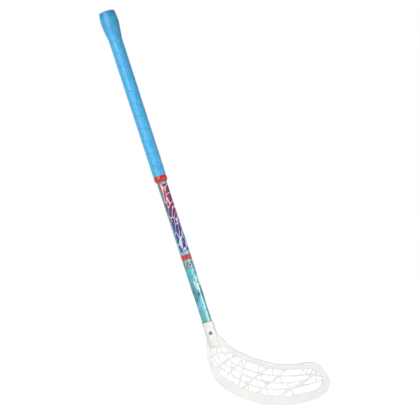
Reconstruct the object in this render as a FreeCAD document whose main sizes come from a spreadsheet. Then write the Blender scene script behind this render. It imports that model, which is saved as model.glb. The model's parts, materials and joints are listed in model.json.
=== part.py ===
import FreeCAD, Part

import math
import os

import Sketcher
from FreeCAD import Placement, Rotation, Vector

# A children's floorball stick in playing position. The middle of the blade's flat sole is the origin and lies
# on the floor, the toe points along +X, the shaft leans back towards -X, and the hollow face of the blade
# looks along -Y.

doc = FreeCAD.newDocument("floorball_stick")
sheet = doc.addObject("Spreadsheet::Sheet", "Sizes")

# Driving dimensions: alias, value in millimetres (angles in degrees), what it measures.
DRIVING_SIZES = (
    ("lie_angle", 18, "lean of the shaft away from upright"),
    ("shaft_length", 696, "length of the bare tube"),
    ("tube_diameter", 20.8, "outside of the tube"),
    ("tube_wall", 1.8, "wall of the tube"),
    ("film_clearance", 0.05, "printed sleeve to the tube"),
    ("film_thickness", 0.2, "printed sleeve on the tube"),
    ("film_gap", 0.4, "end of the printed sleeve to the socket mouth"),
    ("grip_length", 344, "butt end to the lower end of the wound band"),
    ("grip_end_diameter", 26.8, "outside of the band at its lower end"),
    ("grip_neck_diameter", 27.9, "outside of the band below the knob"),
    ("band_thickness", 3, "band over the knob collar"),
    ("knob_diameter", 36.3, "knob at its widest"),
    ("knob_top_diameter", 32.8, "knob at the butt end"),
    ("knob_peak_drop", 22, "butt end to the widest place of the knob"),
    ("knob_length", 65, "butt end to the neck"),
    ("butt_bevel", 1.4, "bevelled rim of the band at the butt end"),
    ("seam_pitch", 26.2, "fall of the wound band in one turn"),
    ("seam_first_drop", 11.4, "butt end to the first seam on the front"),
    ("lap_step", 0.7, "step outwards at the band's lapped edge"),
    ("lap_slope", 4, "how far above that step the band starts to slope in"),
    ("plug_head_thickness", 2.2, "plate of the end plug"),
    ("plug_bevel", 0.8, "bevelled rim of the plug's plate"),
    ("plug_stem_length", 28, "stem of the end plug in the tube"),
    ("plug_stem_wall", 1.6, "wall of the hollow stem"),
    ("plug_rib_height", 0.5, "crush ribs on the stem"),
    ("plug_rib_width", 1.4, "crush ribs on the stem"),
    ("plug_clearance", 0.15, "plate of the plug to the band round it"),
    ("ring_length", 13.2, "finishing ring along the shaft"),
    ("ring_diameter", 27.8, "finishing ring at its widest"),
    ("ring_foot_wall", 0.8, "finishing ring at its thin lower lip"),
    ("ring_taper_length", 7.2, "lower lip of the finishing ring to its widest place"),
    ("ring_top_fall", 1, "how far the ring falls in from its widest place to its top"),
    ("blade_length", 247, "back of the heel to the tip of the toe"),
    ("blade_height", 86, "sole to the top edge at the toe"),
    ("heel_to_axis", 18.8, "back of the heel to the shaft axis, at the foot of the socket"),
    ("hook_depth", 16, "how far the toe comes forward"),
    ("scoop_depth", 4.2, "how far the sole comes forward"),
    ("rim_depth", 9, "rim of the blade, front to back"),
    ("rim_bevel", 2.6, "bevelled outer edges of the rim"),
    ("lattice_depth", 6, "ribs of the lattice, front to back"),
    ("long_rib_width", 2.9, "ribs along the blade"),
    ("slant_rib_width", 3.7, "slanting ribs across them"),
    ("short_rib_width", 2.5, "short ribs between them"),
    ("hub_width", 7.4, "plate where the ribs meet near the toe"),
    ("gusset_depth", 18, "gussets under the socket, front to back"),
    ("gusset_height", 12, "gussets under the socket, up and down"),
    ("gusset_width", 23, "gussets under the socket, first to last"),
    ("socket_length", 54.2, "socket along the shaft, foot to mouth"),
    ("socket_depth", 48, "tube inside the socket"),
    ("socket_clearance", 0.1, "tube to socket wall"),
    ("socket_mouth_wall", 2.2, "socket wall at the mouth"),
    ("socket_foot_wall", 1.8, "socket wall at the foot"),
    ("socket_lip", 0.9, "bevelled rim of the socket mouth"),
    ("screw_drop", 23, "socket mouth to the screws"),
    ("screw_seat_wall", 1.1, "socket wall under a screw head"),
    ("screw_head_diameter", 6.4, "screw head"),
    ("screw_head_height", 1.9, "screw head"),
    ("screw_head_bevel", 1.1, "bevelled rim of the screw head"),
    ("screw_shank_diameter", 3.5, "screw shank"),
    ("screw_shank_length", 9, "screw shank with its point"),
    ("screw_point_length", 2.4, "point of the screw"),
    ("screw_slot_width", 1, "cross recess in the screw head"),
    ("screw_slot_length", 3.8, "cross recess in the screw head"),
    ("screw_slot_depth", 1.1, "cross recess in the screw head"),
    ("screw_clearance", 0.1, "screw to its holes"),
    ("overrun", 5, "how far a cutting shape reaches past what it cuts"),
)

# Shares of the blade's length (from the back of the heel) and of its height (from the sole).
SOLE_MIDDLE_SHARE = 0.599
SOLE_HALF_SHARE = 0.097
SOCKET_FOOT_SHARE = 1.32
SCOOP_TOP_SHARE = 0.62
HEEL_OUTLINE_SHARES = (
    (0.004, 1.64), (0.0, 1.4), (0.004, 1.14), (0.022, 0.9), (0.062, 0.64), (0.121, 0.42), (0.2, 0.26),
    (0.3, 0.135), (0.4, 0.045),
)
TOE_OUTLINE_SHARES = (
    (0.77, 0.04), (0.891, 0.158), (0.965, 0.3), (0.999, 0.55), (0.968, 0.763), (0.915, 0.942), (0.845, 1.005),
    (0.75, 0.97), (0.6, 0.95), (0.5, 1.005), (0.39, 1.09), (0.29, 1.215), (0.195, 1.36), (0.135, 1.54),
    (0.085, 1.66),
)
WINDOW_SHARES = (
    (0.041, 1.3), (0.045, 1.15), (0.077, 0.9), (0.125, 0.7), (0.2, 0.55), (0.3, 0.395), (0.42, 0.28),
    (0.55, 0.222), (0.69, 0.235), (0.81, 0.305), (0.9, 0.41), (0.932, 0.58), (0.903, 0.735), (0.83, 0.825),
    (0.74, 0.81), (0.6, 0.805), (0.47, 0.84), (0.375, 0.935), (0.265, 1.07), (0.187, 1.2), (0.147, 1.3),
)
LONG_RIB_SHARES = (
    # upper, middle and lower rib, from the socket to the toe
    ((0.109, 1.36), (0.15, 1.15), (0.223, 0.965), (0.3, 0.85), (0.43, 0.72), (0.6, 0.665), (0.73, 0.67),
     (0.83, 0.72)),
    ((0.085, 1.36), (0.089, 1.18), (0.138, 0.95), (0.219, 0.82), (0.37, 0.615), (0.56, 0.505), (0.73, 0.535),
     (0.83, 0.62)),
    ((0.057, 1.36), (0.058, 1.14), (0.1, 0.9), (0.174, 0.745), (0.26, 0.59), (0.43, 0.395), (0.6, 0.355),
     (0.76, 0.43), (0.95, 0.6)),
)
SLANT_RIB_SHARES = (
    # from the heel to the toe
    ((0.02, 1.09), (0.081, 1.165), (0.146, 1.18), (0.235, 1.2)),
    ((0.065, 0.815), (0.13, 0.92), (0.186, 1.045), (0.26, 1.16)),
    ((0.148, 0.56), (0.19, 0.73), (0.24, 0.89), (0.31, 1.07)),
    ((0.257, 0.36), (0.28, 0.605), (0.3, 0.79), (0.335, 1.07)),
    ((0.275, 0.325), (0.364, 0.547), (0.43, 0.7), (0.525, 0.89)),
    ((0.395, 0.2), (0.474, 0.407), (0.59, 0.675), (0.66, 0.87)),
    ((0.57, 0.13), (0.664, 0.337), (0.785, 0.523), (0.834, 0.63), (0.91, 0.82)),
)
SHORT_RIB_SHARES = (
    ((0.113, 0.88), (0.113, 0.66)),
    ((0.207, 1.0), (0.206, 0.8)),
    ((0.287, 1.06), (0.297, 0.86)),
    ((0.206, 0.8), (0.229, 0.46)),
    ((0.326, 0.67), (0.33, 0.48)),
    ((0.34, 0.5), (0.348, 0.26)),
    ((0.426, 0.95), (0.43, 0.72)),
    ((0.449, 0.7), (0.453, 0.56)),
    ((0.475, 0.54), (0.478, 0.37)),
    ((0.494, 0.37), (0.498, 0.16)),
    ((0.538, 0.86), (0.542, 0.68)),
    ((0.593, 0.67), (0.615, 0.5)),
    ((0.64, 0.51), (0.68, 0.36)),
    ((0.688, 0.37), (0.716, 0.18)),
    ((0.804, 0.88), (0.752, 0.68)),
    ((0.833, 0.88), (0.789, 0.69)),
    ((0.873, 0.86), (0.836, 0.7)),
    ((0.9, 0.5), (0.875, 0.7)),
    ((0.84, 0.71), (0.95, 0.66)),
)
HUB_SHARES = ((0.834, 0.6), (0.849, 0.76))
PLUG_RIBS = 6
SEAM_STEPS_PER_TURN = 4
DISH_SWEEP = 30
# An edge counts as lying on the outline within this share of the rim's depth, and as running front to back
# past this share of its direction.
TOUCH_SHARE = 0.01
EDGE_ON_SHARE = 0.9

STRAIGHT = "straight"
LEAVES_UPRIGHT = "leaves upright"
ARRIVES_UPRIGHT = "arrives upright"
# The knob's side: shares of the way up from the neck and of the swelling, then from the widest place to the
# top and of the fall back in.
KNOB_RISE_SHARES = ((0, 0), (0.25, 0.125), (0.5, 0.5), (0.75, 0.875), (1, 1))
KNOB_FALL_SHARES = ((0.5, 0.25), (1, 1))


class Size:
    """A length that carries its value and its spreadsheet formula, so that a sum of sizes stays bound."""

    def __init__(self, value, formula):
        self.value = value
        self.formula = formula

    def joined(self, other, sign, value):
        return Size(value, f"({self.formula} {sign} {as_size(other).formula})")

    def __add__(self, other):
        return self.joined(other, "+", self.value + as_size(other).value)

    def __sub__(self, other):
        return self.joined(other, "-", self.value - as_size(other).value)

    def __mul__(self, other):
        return self.joined(other, "*", self.value * as_size(other).value)

    def __truediv__(self, other):
        return self.joined(other, "/", self.value / as_size(other).value)

    def __neg__(self):
        return Size(-self.value, f"(0 - {self.formula})")


def as_size(number):
    return number if isinstance(number, Size) else Size(number, repr(number))


def sine(angle):
    return Size(math.sin(math.radians(angle.value)), f"sin({angle.formula})")


def cosine(angle):
    return Size(math.cos(math.radians(angle.value)), f"cos({angle.formula})")


def tangent(angle):
    return Size(math.tan(math.radians(angle.value)), f"tan({angle.formula})")


def root(number):
    return Size(math.sqrt(number.value), f"sqrt({number.formula})")


def bow_radius(span, depth):
    """Radius of the arc that has left a straight line by a depth after a span along that line."""
    return (span * span + depth * depth) / (depth * 2)


def bow_depth(span, radius):
    """How far an arc has left a straight line after a span along that line."""
    return radius - root(radius * radius - span * span)


def fill_sheet():
    """Write the driving dimensions into the sheet and give them back as sizes, by name."""
    for row, (alias, value, note) in enumerate(DRIVING_SIZES, start=1):
        sheet.set(f"A{row}", note)
        sheet.set(f"B{row}", str(value))
        sheet.setAlias(f"B{row}", alias)
    doc.recompute()
    return {alias: Size(float(sheet.get(alias)), f"Sizes.{alias}") for alias, value, note in DRIVING_SIZES}


size = fill_sheet()
zero = as_size(0)
overrun = size["overrun"]

# The blade's two bends, and how far they bring the sole forward of the shaft axis.
hook_radius = bow_radius(size["blade_length"], size["hook_depth"])
scoop_top = size["blade_height"] * SCOOP_TOP_SHARE
scoop_radius = bow_radius(scoop_top, size["scoop_depth"])
heel_x = size["blade_length"] * -SOLE_MIDDLE_SHARE
axis_y = bow_depth(heel_x, hook_radius) + size["scoop_depth"]

# Places along the shaft axis, measured from where that axis meets the floor.
lie_angle = size["lie_angle"]
socket_foot_height = size["blade_height"] * SOCKET_FOOT_SHARE
axis_foot_x = heel_x + size["heel_to_axis"] + socket_foot_height * tangent(lie_angle)
socket_foot = socket_foot_height / cosine(lie_angle)
socket_mouth = socket_foot + size["socket_length"]
tube_foot = socket_mouth - size["socket_depth"]
tube_top = tube_foot + size["shaft_length"]
butt_end = tube_top + size["plug_head_thickness"]
knob_peak = butt_end - size["knob_peak_drop"]
neck = butt_end - size["knob_length"]
grip_foot = butt_end - size["grip_length"]
ring_foot = grip_foot - size["ring_length"]
screw_height = socket_mouth - size["screw_drop"]

# Radii about the shaft axis.
tube_radius = size["tube_diameter"] / 2
bore_radius = tube_radius - size["tube_wall"]
film_bore_radius = tube_radius + size["film_clearance"]
film_radius = film_bore_radius + size["film_thickness"]
socket_radius = tube_radius + size["socket_clearance"]
knob_radius = size["knob_diameter"] / 2
knob_top_radius = size["knob_top_diameter"] / 2
neck_radius = size["grip_neck_diameter"] / 2
grip_foot_radius = size["grip_end_diameter"] / 2
screw_seat = socket_radius + size["screw_seat_wall"]
shank_hole_radius = size["screw_shank_diameter"] / 2 + size["screw_clearance"]


def bind(obj, **sizes):
    """Bind properties of an object to the sheet; a double underscore in a name stands for a dot."""
    for name, length in sizes.items():
        obj.setExpression(name.replace("__", "."), length.formula)


def origin_plane(body, role):
    return next(plane for plane in body.Origin.OriginFeatures if plane.Role == role)


def add_body(label):
    body = doc.addObject("PartDesign::Body", label)
    body.Label = label
    return body


def add_sketch(body, name, role):
    sketch = body.newObject("Sketcher::SketchObject", name)
    sketch.AttachmentSupport = [(origin_plane(body, role), "")]
    sketch.MapMode = "FlatFace"
    return sketch


def bind_point(sketch, edge, end, place):
    """Hold one end of an edge at a place given as two sizes, measured from the sketch's origin."""
    for kind, length in zip(("DistanceX", "DistanceY"), place):
        index = sketch.addConstraint(Sketcher.Constraint(kind, -1, 1, edge, end, length.value))
        sketch.setExpression(f"Constraints[{index}]", length.formula)


def flat_point(corner):
    return Vector(corner[0].value, corner[1].value, 0)


def level_circle(level, other):
    """Centre and radius of the circle through two points whose centre is level with the first."""
    drop = other.y - level.y
    centre_x = (level.x ** 2 - other.x ** 2 - drop ** 2) / (2 * (level.x - other.x))
    return Vector(centre_x, level.y, 0), abs(level.x - centre_x)


def level_arc(start, finish, level):
    """The short arc between two points that is upright at one of them, and whether it runs forwards."""
    centre, radius = level_circle(level, finish if level is start else start)
    angles = [math.atan2(point.y - centre.y, point.x - centre.x) for point in (start, finish)]
    forwards = (angles[1] - angles[0]) % math.tau < math.pi
    if not forwards:
        angles.reverse()
    return Part.ArcOfCircle(Part.Circle(centre, Vector(0, 0, 1), radius), *angles), forwards


def draw_outline(sketch, corners):
    """Draw a closed outline through corners of (x, y, kind of edge to the next corner)."""
    points = [flat_point(corner) for corner in corners]
    ends = []
    for index, (x, y, kind) in enumerate(corners):
        start = points[index]
        finish = points[(index + 1) % len(points)]
        if kind == STRAIGHT:
            edge = sketch.addGeometry(Part.LineSegment(start, finish))
            ends.append((edge, 1, 2))
            continue
        level = start if kind == LEAVES_UPRIGHT else finish
        arc, forwards = level_arc(start, finish, level)
        edge = sketch.addGeometry(arc)
        first, last = (1, 2) if forwards else (2, 1)
        ends.append((edge, first, last))
        level_end = first if kind == LEAVES_UPRIGHT else last
        sketch.addConstraint(Sketcher.Constraint("Horizontal", edge, 3, edge, level_end))
    for index, (x, y, kind) in enumerate(corners):
        edge, first, last = ends[index]
        next_edge, next_first, next_last = ends[(index + 1) % len(ends)]
        sketch.addConstraint(Sketcher.Constraint("Coincident", edge, last, next_edge, next_first))
        bind_point(sketch, edge, first, (x, y))


def draw_circle(sketch, diameter, height):
    """Draw a circle on the sketch's upright axis at a height."""
    circle = Part.Circle(Vector(0, height.value, 0), Vector(0, 0, 1), diameter.value / 2)
    edge = sketch.addGeometry(circle)
    index = sketch.addConstraint(Sketcher.Constraint("Diameter", edge, diameter.value))
    sketch.setExpression(f"Constraints[{index}]", diameter.formula)
    bind_point(sketch, edge, 3, (zero, height))


def turn(body, name, corners, sweep=360):
    """Turn an outline of (radius, height, kind of edge) about the body's own Z axis."""
    sketch = add_sketch(body, f"{name}_profile", "XZ_Plane")
    draw_outline(sketch, corners)
    turned = body.newObject("PartDesign::Revolution", name)
    turned.Profile = sketch
    turned.ReferenceAxis = (sketch, ["V_Axis"])
    turned.Midplane = True
    turned.Angle = sweep
    return turned


def stand_on_shaft_axis(obj, height=zero):
    """Lean an object that is modelled upright over to the shaft axis, its origin at a height along it."""
    obj.Placement = Placement(Vector(0, 0, 0), Rotation(Vector(0, -1, 0), lie_angle.value))
    bind(
        obj,
        Placement__Base__x=axis_foot_x - height * sine(lie_angle),
        Placement__Base__y=axis_y,
        Placement__Base__z=height * cosine(lie_angle),
        Placement__Rotation__Angle=lie_angle,
    )


def face_forward(obj, height, reach):
    """Turn an object's Z axis to the front (-Y) and stand it a reach in front of the shaft axis."""
    obj.Placement = Placement(Vector(0, 0, 0), Rotation(Vector(1, 0, 0), 90))
    bind(
        obj,
        Placement__Base__x=axis_foot_x - height * sine(lie_angle),
        Placement__Base__y=axis_y - reach,
        Placement__Base__z=height * cosine(lie_angle),
    )


def make_shaft_tube():
    body = add_body("shaft_tube")
    turn(body, "tube", (
        (bore_radius, tube_foot, STRAIGHT),
        (tube_radius, tube_foot, STRAIGHT),
        (tube_radius, tube_top, STRAIGHT),
        (bore_radius, tube_top, STRAIGHT),
    ))
    sketch = add_sketch(body, "screw_holes_sketch", "XZ_Plane")
    draw_circle(sketch, shank_hole_radius * 2, screw_height)
    holes = body.newObject("PartDesign::Pocket", "screw_holes")
    holes.Profile = sketch
    holes.Midplane = True
    bind(holes, Length=size["tube_diameter"] + overrun)
    stand_on_shaft_axis(body)
    return body


def make_print_film():
    body = add_body("print_film")
    film_foot = socket_mouth + size["film_gap"]
    turn(body, "film", (
        (film_bore_radius, film_foot, STRAIGHT),
        (film_radius, film_foot, STRAIGHT),
        (film_radius, grip_foot, STRAIGHT),
        (film_bore_radius, grip_foot, STRAIGHT),
    ))
    stand_on_shaft_axis(body)
    return body


def knob_side(inset, top):
    """The knob's side from the neck over its widest place to its top, drawn in by an inset."""
    rise = knob_peak - neck
    swelling = knob_radius - neck_radius
    fall = knob_radius - knob_top_radius
    places = [(neck_radius + swelling * out, neck + rise * up) for up, out in KNOB_RISE_SHARES]
    above = top - knob_peak
    places += [(knob_radius - fall * back, knob_peak + above * up) for up, back in KNOB_FALL_SHARES]
    return [(radius - inset, height, STRAIGHT) for radius, height in places]


def make_knob_collar():
    body = add_body("knob_collar")
    turn(body, "collar", (
        (tube_radius, neck, STRAIGHT),
        *knob_side(size["band_thickness"], tube_top),
        (tube_radius, tube_top, STRAIGHT),
    ))
    stand_on_shaft_axis(body)
    return body


def make_end_plug():
    body = add_body("end_plug")
    head_radius = knob_top_radius - size["band_thickness"] - size["plug_clearance"]
    stem_radius = bore_radius - size["plug_rib_height"]
    hollow_radius = stem_radius - size["plug_stem_wall"]
    stem_foot = tube_top - size["plug_stem_length"]
    bevel = size["plug_bevel"]
    turn(body, "plug", (
        (zero, tube_top, STRAIGHT),
        (hollow_radius, tube_top, STRAIGHT),
        (hollow_radius, stem_foot, STRAIGHT),
        (stem_radius, stem_foot, STRAIGHT),
        (stem_radius, tube_top, STRAIGHT),
        (head_radius, tube_top, STRAIGHT),
        (head_radius, butt_end - bevel, STRAIGHT),
        (head_radius - bevel, butt_end, STRAIGHT),
        (zero, butt_end, STRAIGHT),
    ))
    sketch = add_sketch(body, "crush_rib_sketch", "XY_Plane")
    bind(sketch, AttachmentOffset__Base__z=stem_foot)
    half_width = size["plug_rib_width"] / 2
    inside = stem_radius - size["plug_stem_wall"] / 2
    outside = bore_radius - half_width * half_width / bore_radius
    draw_outline(sketch, (
        (inside, -half_width, STRAIGHT),
        (outside, -half_width, STRAIGHT),
        (outside, half_width, STRAIGHT),
        (inside, half_width, STRAIGHT),
    ))
    rib = body.newObject("PartDesign::Pad", "crush_rib")
    rib.Profile = sketch
    bind(rib, Length=size["plug_stem_length"])
    ribs = body.newObject("PartDesign::PolarPattern", "crush_ribs")
    ribs.Originals = [rib]
    ribs.Axis = (sketch, ["N_Axis"])
    ribs.Angle = 360
    ribs.Occurrences = PLUG_RIBS
    body.Tip = ribs
    stand_on_shaft_axis(body)
    return body


def make_grip_ring():
    body = add_body("grip_ring")
    ring_radius = size["ring_diameter"] / 2
    turn(body, "ring", (
        (film_radius, ring_foot, STRAIGHT),
        (film_radius + size["ring_foot_wall"], ring_foot, ARRIVES_UPRIGHT),
        (ring_radius, ring_foot + size["ring_taper_length"], LEAVES_UPRIGHT),
        (ring_radius - size["ring_top_fall"], grip_foot, STRAIGHT),
        (film_radius, grip_foot, STRAIGHT),
    ))
    stand_on_shaft_axis(body)
    return body


def make_grip_wrap():
    body = add_body("band")
    bevel = size["butt_bevel"]
    turn(body, "wound_sleeve", (
        (tube_radius, grip_foot, STRAIGHT),
        (grip_foot_radius, grip_foot, STRAIGHT),
        *knob_side(zero, butt_end - bevel),
        (knob_top_radius - bevel, butt_end, STRAIGHT),
        (knob_top_radius - size["band_thickness"], butt_end, STRAIGHT),
        *reversed(knob_side(size["band_thickness"], tube_top)),
        (tube_radius, neck, STRAIGHT),
    ))
    stand_on_shaft_axis(body)
    return combine("Part::Cut", "grip_wrap", body, add_lap_cutter())


def band_radius(drop):
    """The outside of the wound band at a drop below the butt end: the slow taper, then the knob's side."""
    height = butt_end.value - drop
    side = [(grip_foot_radius, grip_foot, STRAIGHT)] + knob_side(zero, butt_end - size["butt_bevel"])
    for lower, upper in zip(side, side[1:]):
        if height <= upper[1].value:
            break
    share = (height - lower[1].value) / (upper[1].value - lower[1].value)
    return lower[0].value + share * (upper[0].value - lower[0].value)


def seam_point(turns):
    """A place on the band's lapped edge, after a number of turns from where it first crosses the front."""
    drop = size["seam_first_drop"].value + turns * size["seam_pitch"].value
    radius = band_radius(drop)
    angle = math.tau * turns - math.pi / 2
    return Vector(radius * math.cos(angle), radius * math.sin(angle), butt_end.value - drop)


def seam_direction(turns):
    """The lapped edge's direction at a place, from two places close to it."""
    step = SEAM_STEPS_PER_TURN ** -3
    return (seam_point(turns + step) - seam_point(turns - step)).normalize()


def arc_from(start, direction, finish):
    """The arc that leaves a point in a direction and ends at another point."""
    chord = finish - start
    ahead = chord.dot(direction)
    aside = chord - direction * ahead
    sideways = aside.Length
    aside.normalize()
    radius = chord.dot(chord) / (2 * sideways)
    half_turn = math.atan2(sideways, ahead)
    middle = start + direction * (radius * math.sin(half_turn)) + aside * (radius * (1 - math.cos(half_turn)))
    return Part.Arc(start, middle, finish).toShape()


def biarc(start, start_direction, finish, finish_direction):
    """Two arcs that meet smoothly and have given directions at both ends."""
    chord = finish - start
    both = chord.dot(start_direction + finish_direction)
    spread = 2 * (1 - start_direction.dot(finish_direction))
    reach = (math.sqrt(both ** 2 + spread * chord.dot(chord)) - both) / spread
    middle = (start + finish + (start_direction - finish_direction) * reach) / 2
    first = arc_from(start, start_direction, middle)
    last = arc_from(finish, -finish_direction, middle)
    return [first, last]


def lap_section(turns):
    """What the lap leaves open: steep along the edge, sloping in from above, drawn square to the edge."""
    place = seam_point(turns)
    along = seam_direction(turns)
    outwards = Vector(place.x, place.y, 0)
    outwards = (outwards - along * outwards.dot(along)).normalize()
    up = outwards.cross(along)
    step = outwards * size["lap_step"].value
    slope = up * size["lap_slope"].value
    corners = (place - step, place + step, place + step + slope + slope)
    return Part.makePolygon((*corners, corners[0]))


def add_lap_cutter():
    """Follow the lapped edge, left-handed, in quarter turns from the knob down past the end of the band."""
    steps = SEAM_STEPS_PER_TURN
    pitch = size["seam_pitch"]
    first = (size["butt_bevel"] - size["seam_first_drop"]) / pitch
    last = (size["grip_length"] - size["seam_first_drop"] + size["lap_slope"]) / pitch
    count = math.ceil((last.value - first.value) * steps)
    places = [first.value + index / steps for index in range(count + 1)]
    edges = []
    for here, there in zip(places, places[1:]):
        edges += biarc(seam_point(here), seam_direction(here), seam_point(there), seam_direction(there))
    sweep = Part.BRepOffsetAPI.MakePipeShell(Part.Wire(Part.__sortEdges__(edges)))
    sweep.setBiNormalMode(Vector(0, 0, 1))
    sweep.add(lap_section(places[0]))
    sweep.build()
    sweep.makeSolid()
    feature = doc.addObject("Part::Feature", "lap_cutter")
    feature.Shape = sweep.shape()
    stand_on_shaft_axis(feature)
    turns = zip(places, places[steps:])
    least = min((seam_point(there) - seam_point(here)).Length for here, there in turns)
    gap = least - 2 * size["lap_slope"].value
    print(f"lapped edge: {len(edges)} arcs, least gap between its turns {gap:.1f} mm")
    return feature


def blade_point(share):
    """A place on the blade seen from the front, from shares of its length and height."""
    along, up = share
    x = heel_x + size["blade_length"] * along
    z = size["blade_height"] * up
    return Vector(x.value, 0, z.value)


def curve_through(points, start=None, finish=None):
    """A smooth edge through points, with a given direction at both ends or at neither."""
    curve = Part.BSplineCurve()
    if start:
        curve.interpolate(Points=points, InitialTangent=start, FinalTangent=finish)
    else:
        curve.interpolate(points)
    return curve


def add_face(name, edges):
    feature = doc.addObject("Part::Feature", name)
    feature.Shape = Part.Face(Part.Wire(edges))
    return feature


def add_blade_outline():
    """The blade's outer edge: the heel's curve, the flat sole, and the toe's curve back up to the socket."""
    along = Vector(1, 0, 0)
    sole_start = blade_point((SOLE_MIDDLE_SHARE - SOLE_HALF_SHARE, 0))
    sole_end = blade_point((SOLE_MIDDLE_SHARE + SOLE_HALF_SHARE, 0))
    heel = [blade_point(share) for share in HEEL_OUTLINE_SHARES] + [sole_start]
    toe = [sole_end] + [blade_point(share) for share in TOE_OUTLINE_SHARES]
    edges = (
        curve_through(heel, heel[1] - heel[0], along).toShape(),
        Part.makeLine(sole_start, sole_end),
        curve_through(toe, along, toe[-1] - toe[-2]).toShape(),
        Part.makeLine(toe[-1], heel[0]),
    )
    return add_face("blade_outline", edges)


def add_window():
    """The opening inside the rim: one curve, closed by a straight edge under the socket."""
    points = [blade_point(share) for share in WINDOW_SHARES]
    return add_face("window", (curve_through(points).toShape(), Part.makeLine(points[-1], points[0])))


def rib_face(shares, width):
    """A rib seen from the front: a curve through its points, widened by half its width to both sides."""
    spine = curve_through([blade_point(share) for share in shares])
    steps = 2 * len(shares)
    span = spine.LastParameter - spine.FirstParameter
    sides = ([], [])
    for step in range(steps + 1):
        parameter = spine.FirstParameter + span * step / steps
        place = spine.value(parameter)
        along = spine.tangent(parameter)[0]
        across = Vector(-along.z, 0, along.x) * (width / 2)
        sides[0].append(place + across)
        sides[1].append(place - across)
    left, right = sides
    if len(shares) == 2:
        corners = (left[0], left[-1], right[-1], right[0], left[0])
        return Part.Face(Part.makePolygon(corners))
    edges = (
        curve_through(left).toShape(),
        Part.makeLine(left[-1], right[-1]),
        curve_through(right).toShape(),
        Part.makeLine(right[0], left[0]),
    )
    return Part.Face(Part.Wire(edges))


def add_openings(window):
    """What the ribs leave open of the window, without slivers narrower than a rib."""
    ribs = [rib_face(shares, size["long_rib_width"].value) for shares in LONG_RIB_SHARES]
    ribs += [rib_face(shares, size["slant_rib_width"].value) for shares in SLANT_RIB_SHARES]
    ribs += [rib_face(shares, size["short_rib_width"].value) for shares in SHORT_RIB_SHARES]
    ribs.append(rib_face(HUB_SHARES, size["hub_width"].value))
    least = size["short_rib_width"].value ** 2
    faces = [face for face in window.Shape.cut(ribs).Faces if face.Area > least]
    feature = doc.addObject("Part::Feature", "openings")
    feature.Shape = Part.Compound(faces)
    return feature


def extrude(face):
    """Carry a face seen from the front through the whole depth of the blade."""
    reach = size["hook_depth"] + size["scoop_depth"] + size["rim_depth"] + overrun
    block = doc.addObject("Part::Extrusion", f"{face.Name}_block")
    block.Base = face
    block.DirMode = "Custom"
    block.Dir = Vector(0, 1, 0)
    block.Solid = True
    bind(block, LengthFwd=reach, LengthRev=reach)
    return block


def make_dish(name, depth):
    """A curved slab: hooked forward along its length and scooped forward towards the sole."""
    front = hook_radius - depth / 2
    back = hook_radius + depth / 2
    foot_scoop = bow_depth(scoop_top + overrun, scoop_radius)
    top = socket_foot_height + size["socket_length"]
    body = add_body(name)
    turn(body, f"{name}_slab", (
        (front - foot_scoop, -overrun, STRAIGHT),
        (back - foot_scoop, -overrun, ARRIVES_UPRIGHT),
        (back, scoop_top, STRAIGHT),
        (back, top, STRAIGHT),
        (front, top, STRAIGHT),
        (front, scoop_top, LEAVES_UPRIGHT),
    ), DISH_SWEEP)
    body.Placement = Placement(Vector(0, 0, 0), Rotation(Vector(0, 0, 1), 90))
    bind(body, Placement__Base__x=heel_x, Placement__Base__y=axis_y - hook_radius)
    return body


def combine(kind, name, first, second):
    result = doc.addObject(kind, name)
    result.Base = first
    result.Tool = second
    return result


def fuse(name, shapes):
    result = doc.addObject("Part::MultiFuse", name)
    result.Shapes = shapes
    return result


def bevel_rim(blank, outline):
    """Bevel the front and back edges that follow the blade's outline below the socket."""
    doc.recompute()
    border = Part.Compound(outline.Shape.Edges[:3])
    depth = size["rim_depth"].value
    bevel = size["rim_bevel"].value
    chosen = []
    for number, edge in enumerate(blank.Shape.Edges, start=1):
        middle = edge.valueAt((edge.FirstParameter + edge.LastParameter) / 2)
        seen = Part.Vertex(middle.x, 0, middle.z)
        direction = edge.tangentAt(edge.FirstParameter)
        front_to_back = edge.Length < depth + overrun.value and abs(direction.y) > EDGE_ON_SHARE
        if border.distToShape(seen)[0] < TOUCH_SHARE * depth and not front_to_back:
            chosen.append((number, bevel, bevel))
    bevelled = doc.addObject("Part::Chamfer", "bevelled_rim")
    bevelled.Base = blank
    bevelled.Edges = chosen
    return bevelled


def make_socket_body():
    """The socket's outside, a slim cone about the shaft axis, cut level at its foot."""
    body = add_body("socket_cone")
    foot_radius = socket_radius + size["socket_foot_wall"]
    mouth_radius = socket_radius + size["socket_mouth_wall"]
    lip = size["socket_lip"]
    low = socket_foot - size["tube_diameter"]
    turn(body, "cone", (
        (zero, low, STRAIGHT),
        (foot_radius, low, STRAIGHT),
        (foot_radius, socket_foot, STRAIGHT),
        (mouth_radius, socket_mouth - lip, STRAIGHT),
        (mouth_radius - lip, socket_mouth, STRAIGHT),
        (zero, socket_mouth, STRAIGHT),
    ))
    stand_on_shaft_axis(body)
    below = doc.addObject("Part::Box", "below_socket")
    height = size["blade_height"]
    bind(below, Length=height * 2, Width=height, Height=socket_foot_height)
    bind(below, Placement__Base__x=heel_x - height, Placement__Base__y=axis_y - height / 2)
    return combine("Part::Cut", "socket", body, below)


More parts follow.
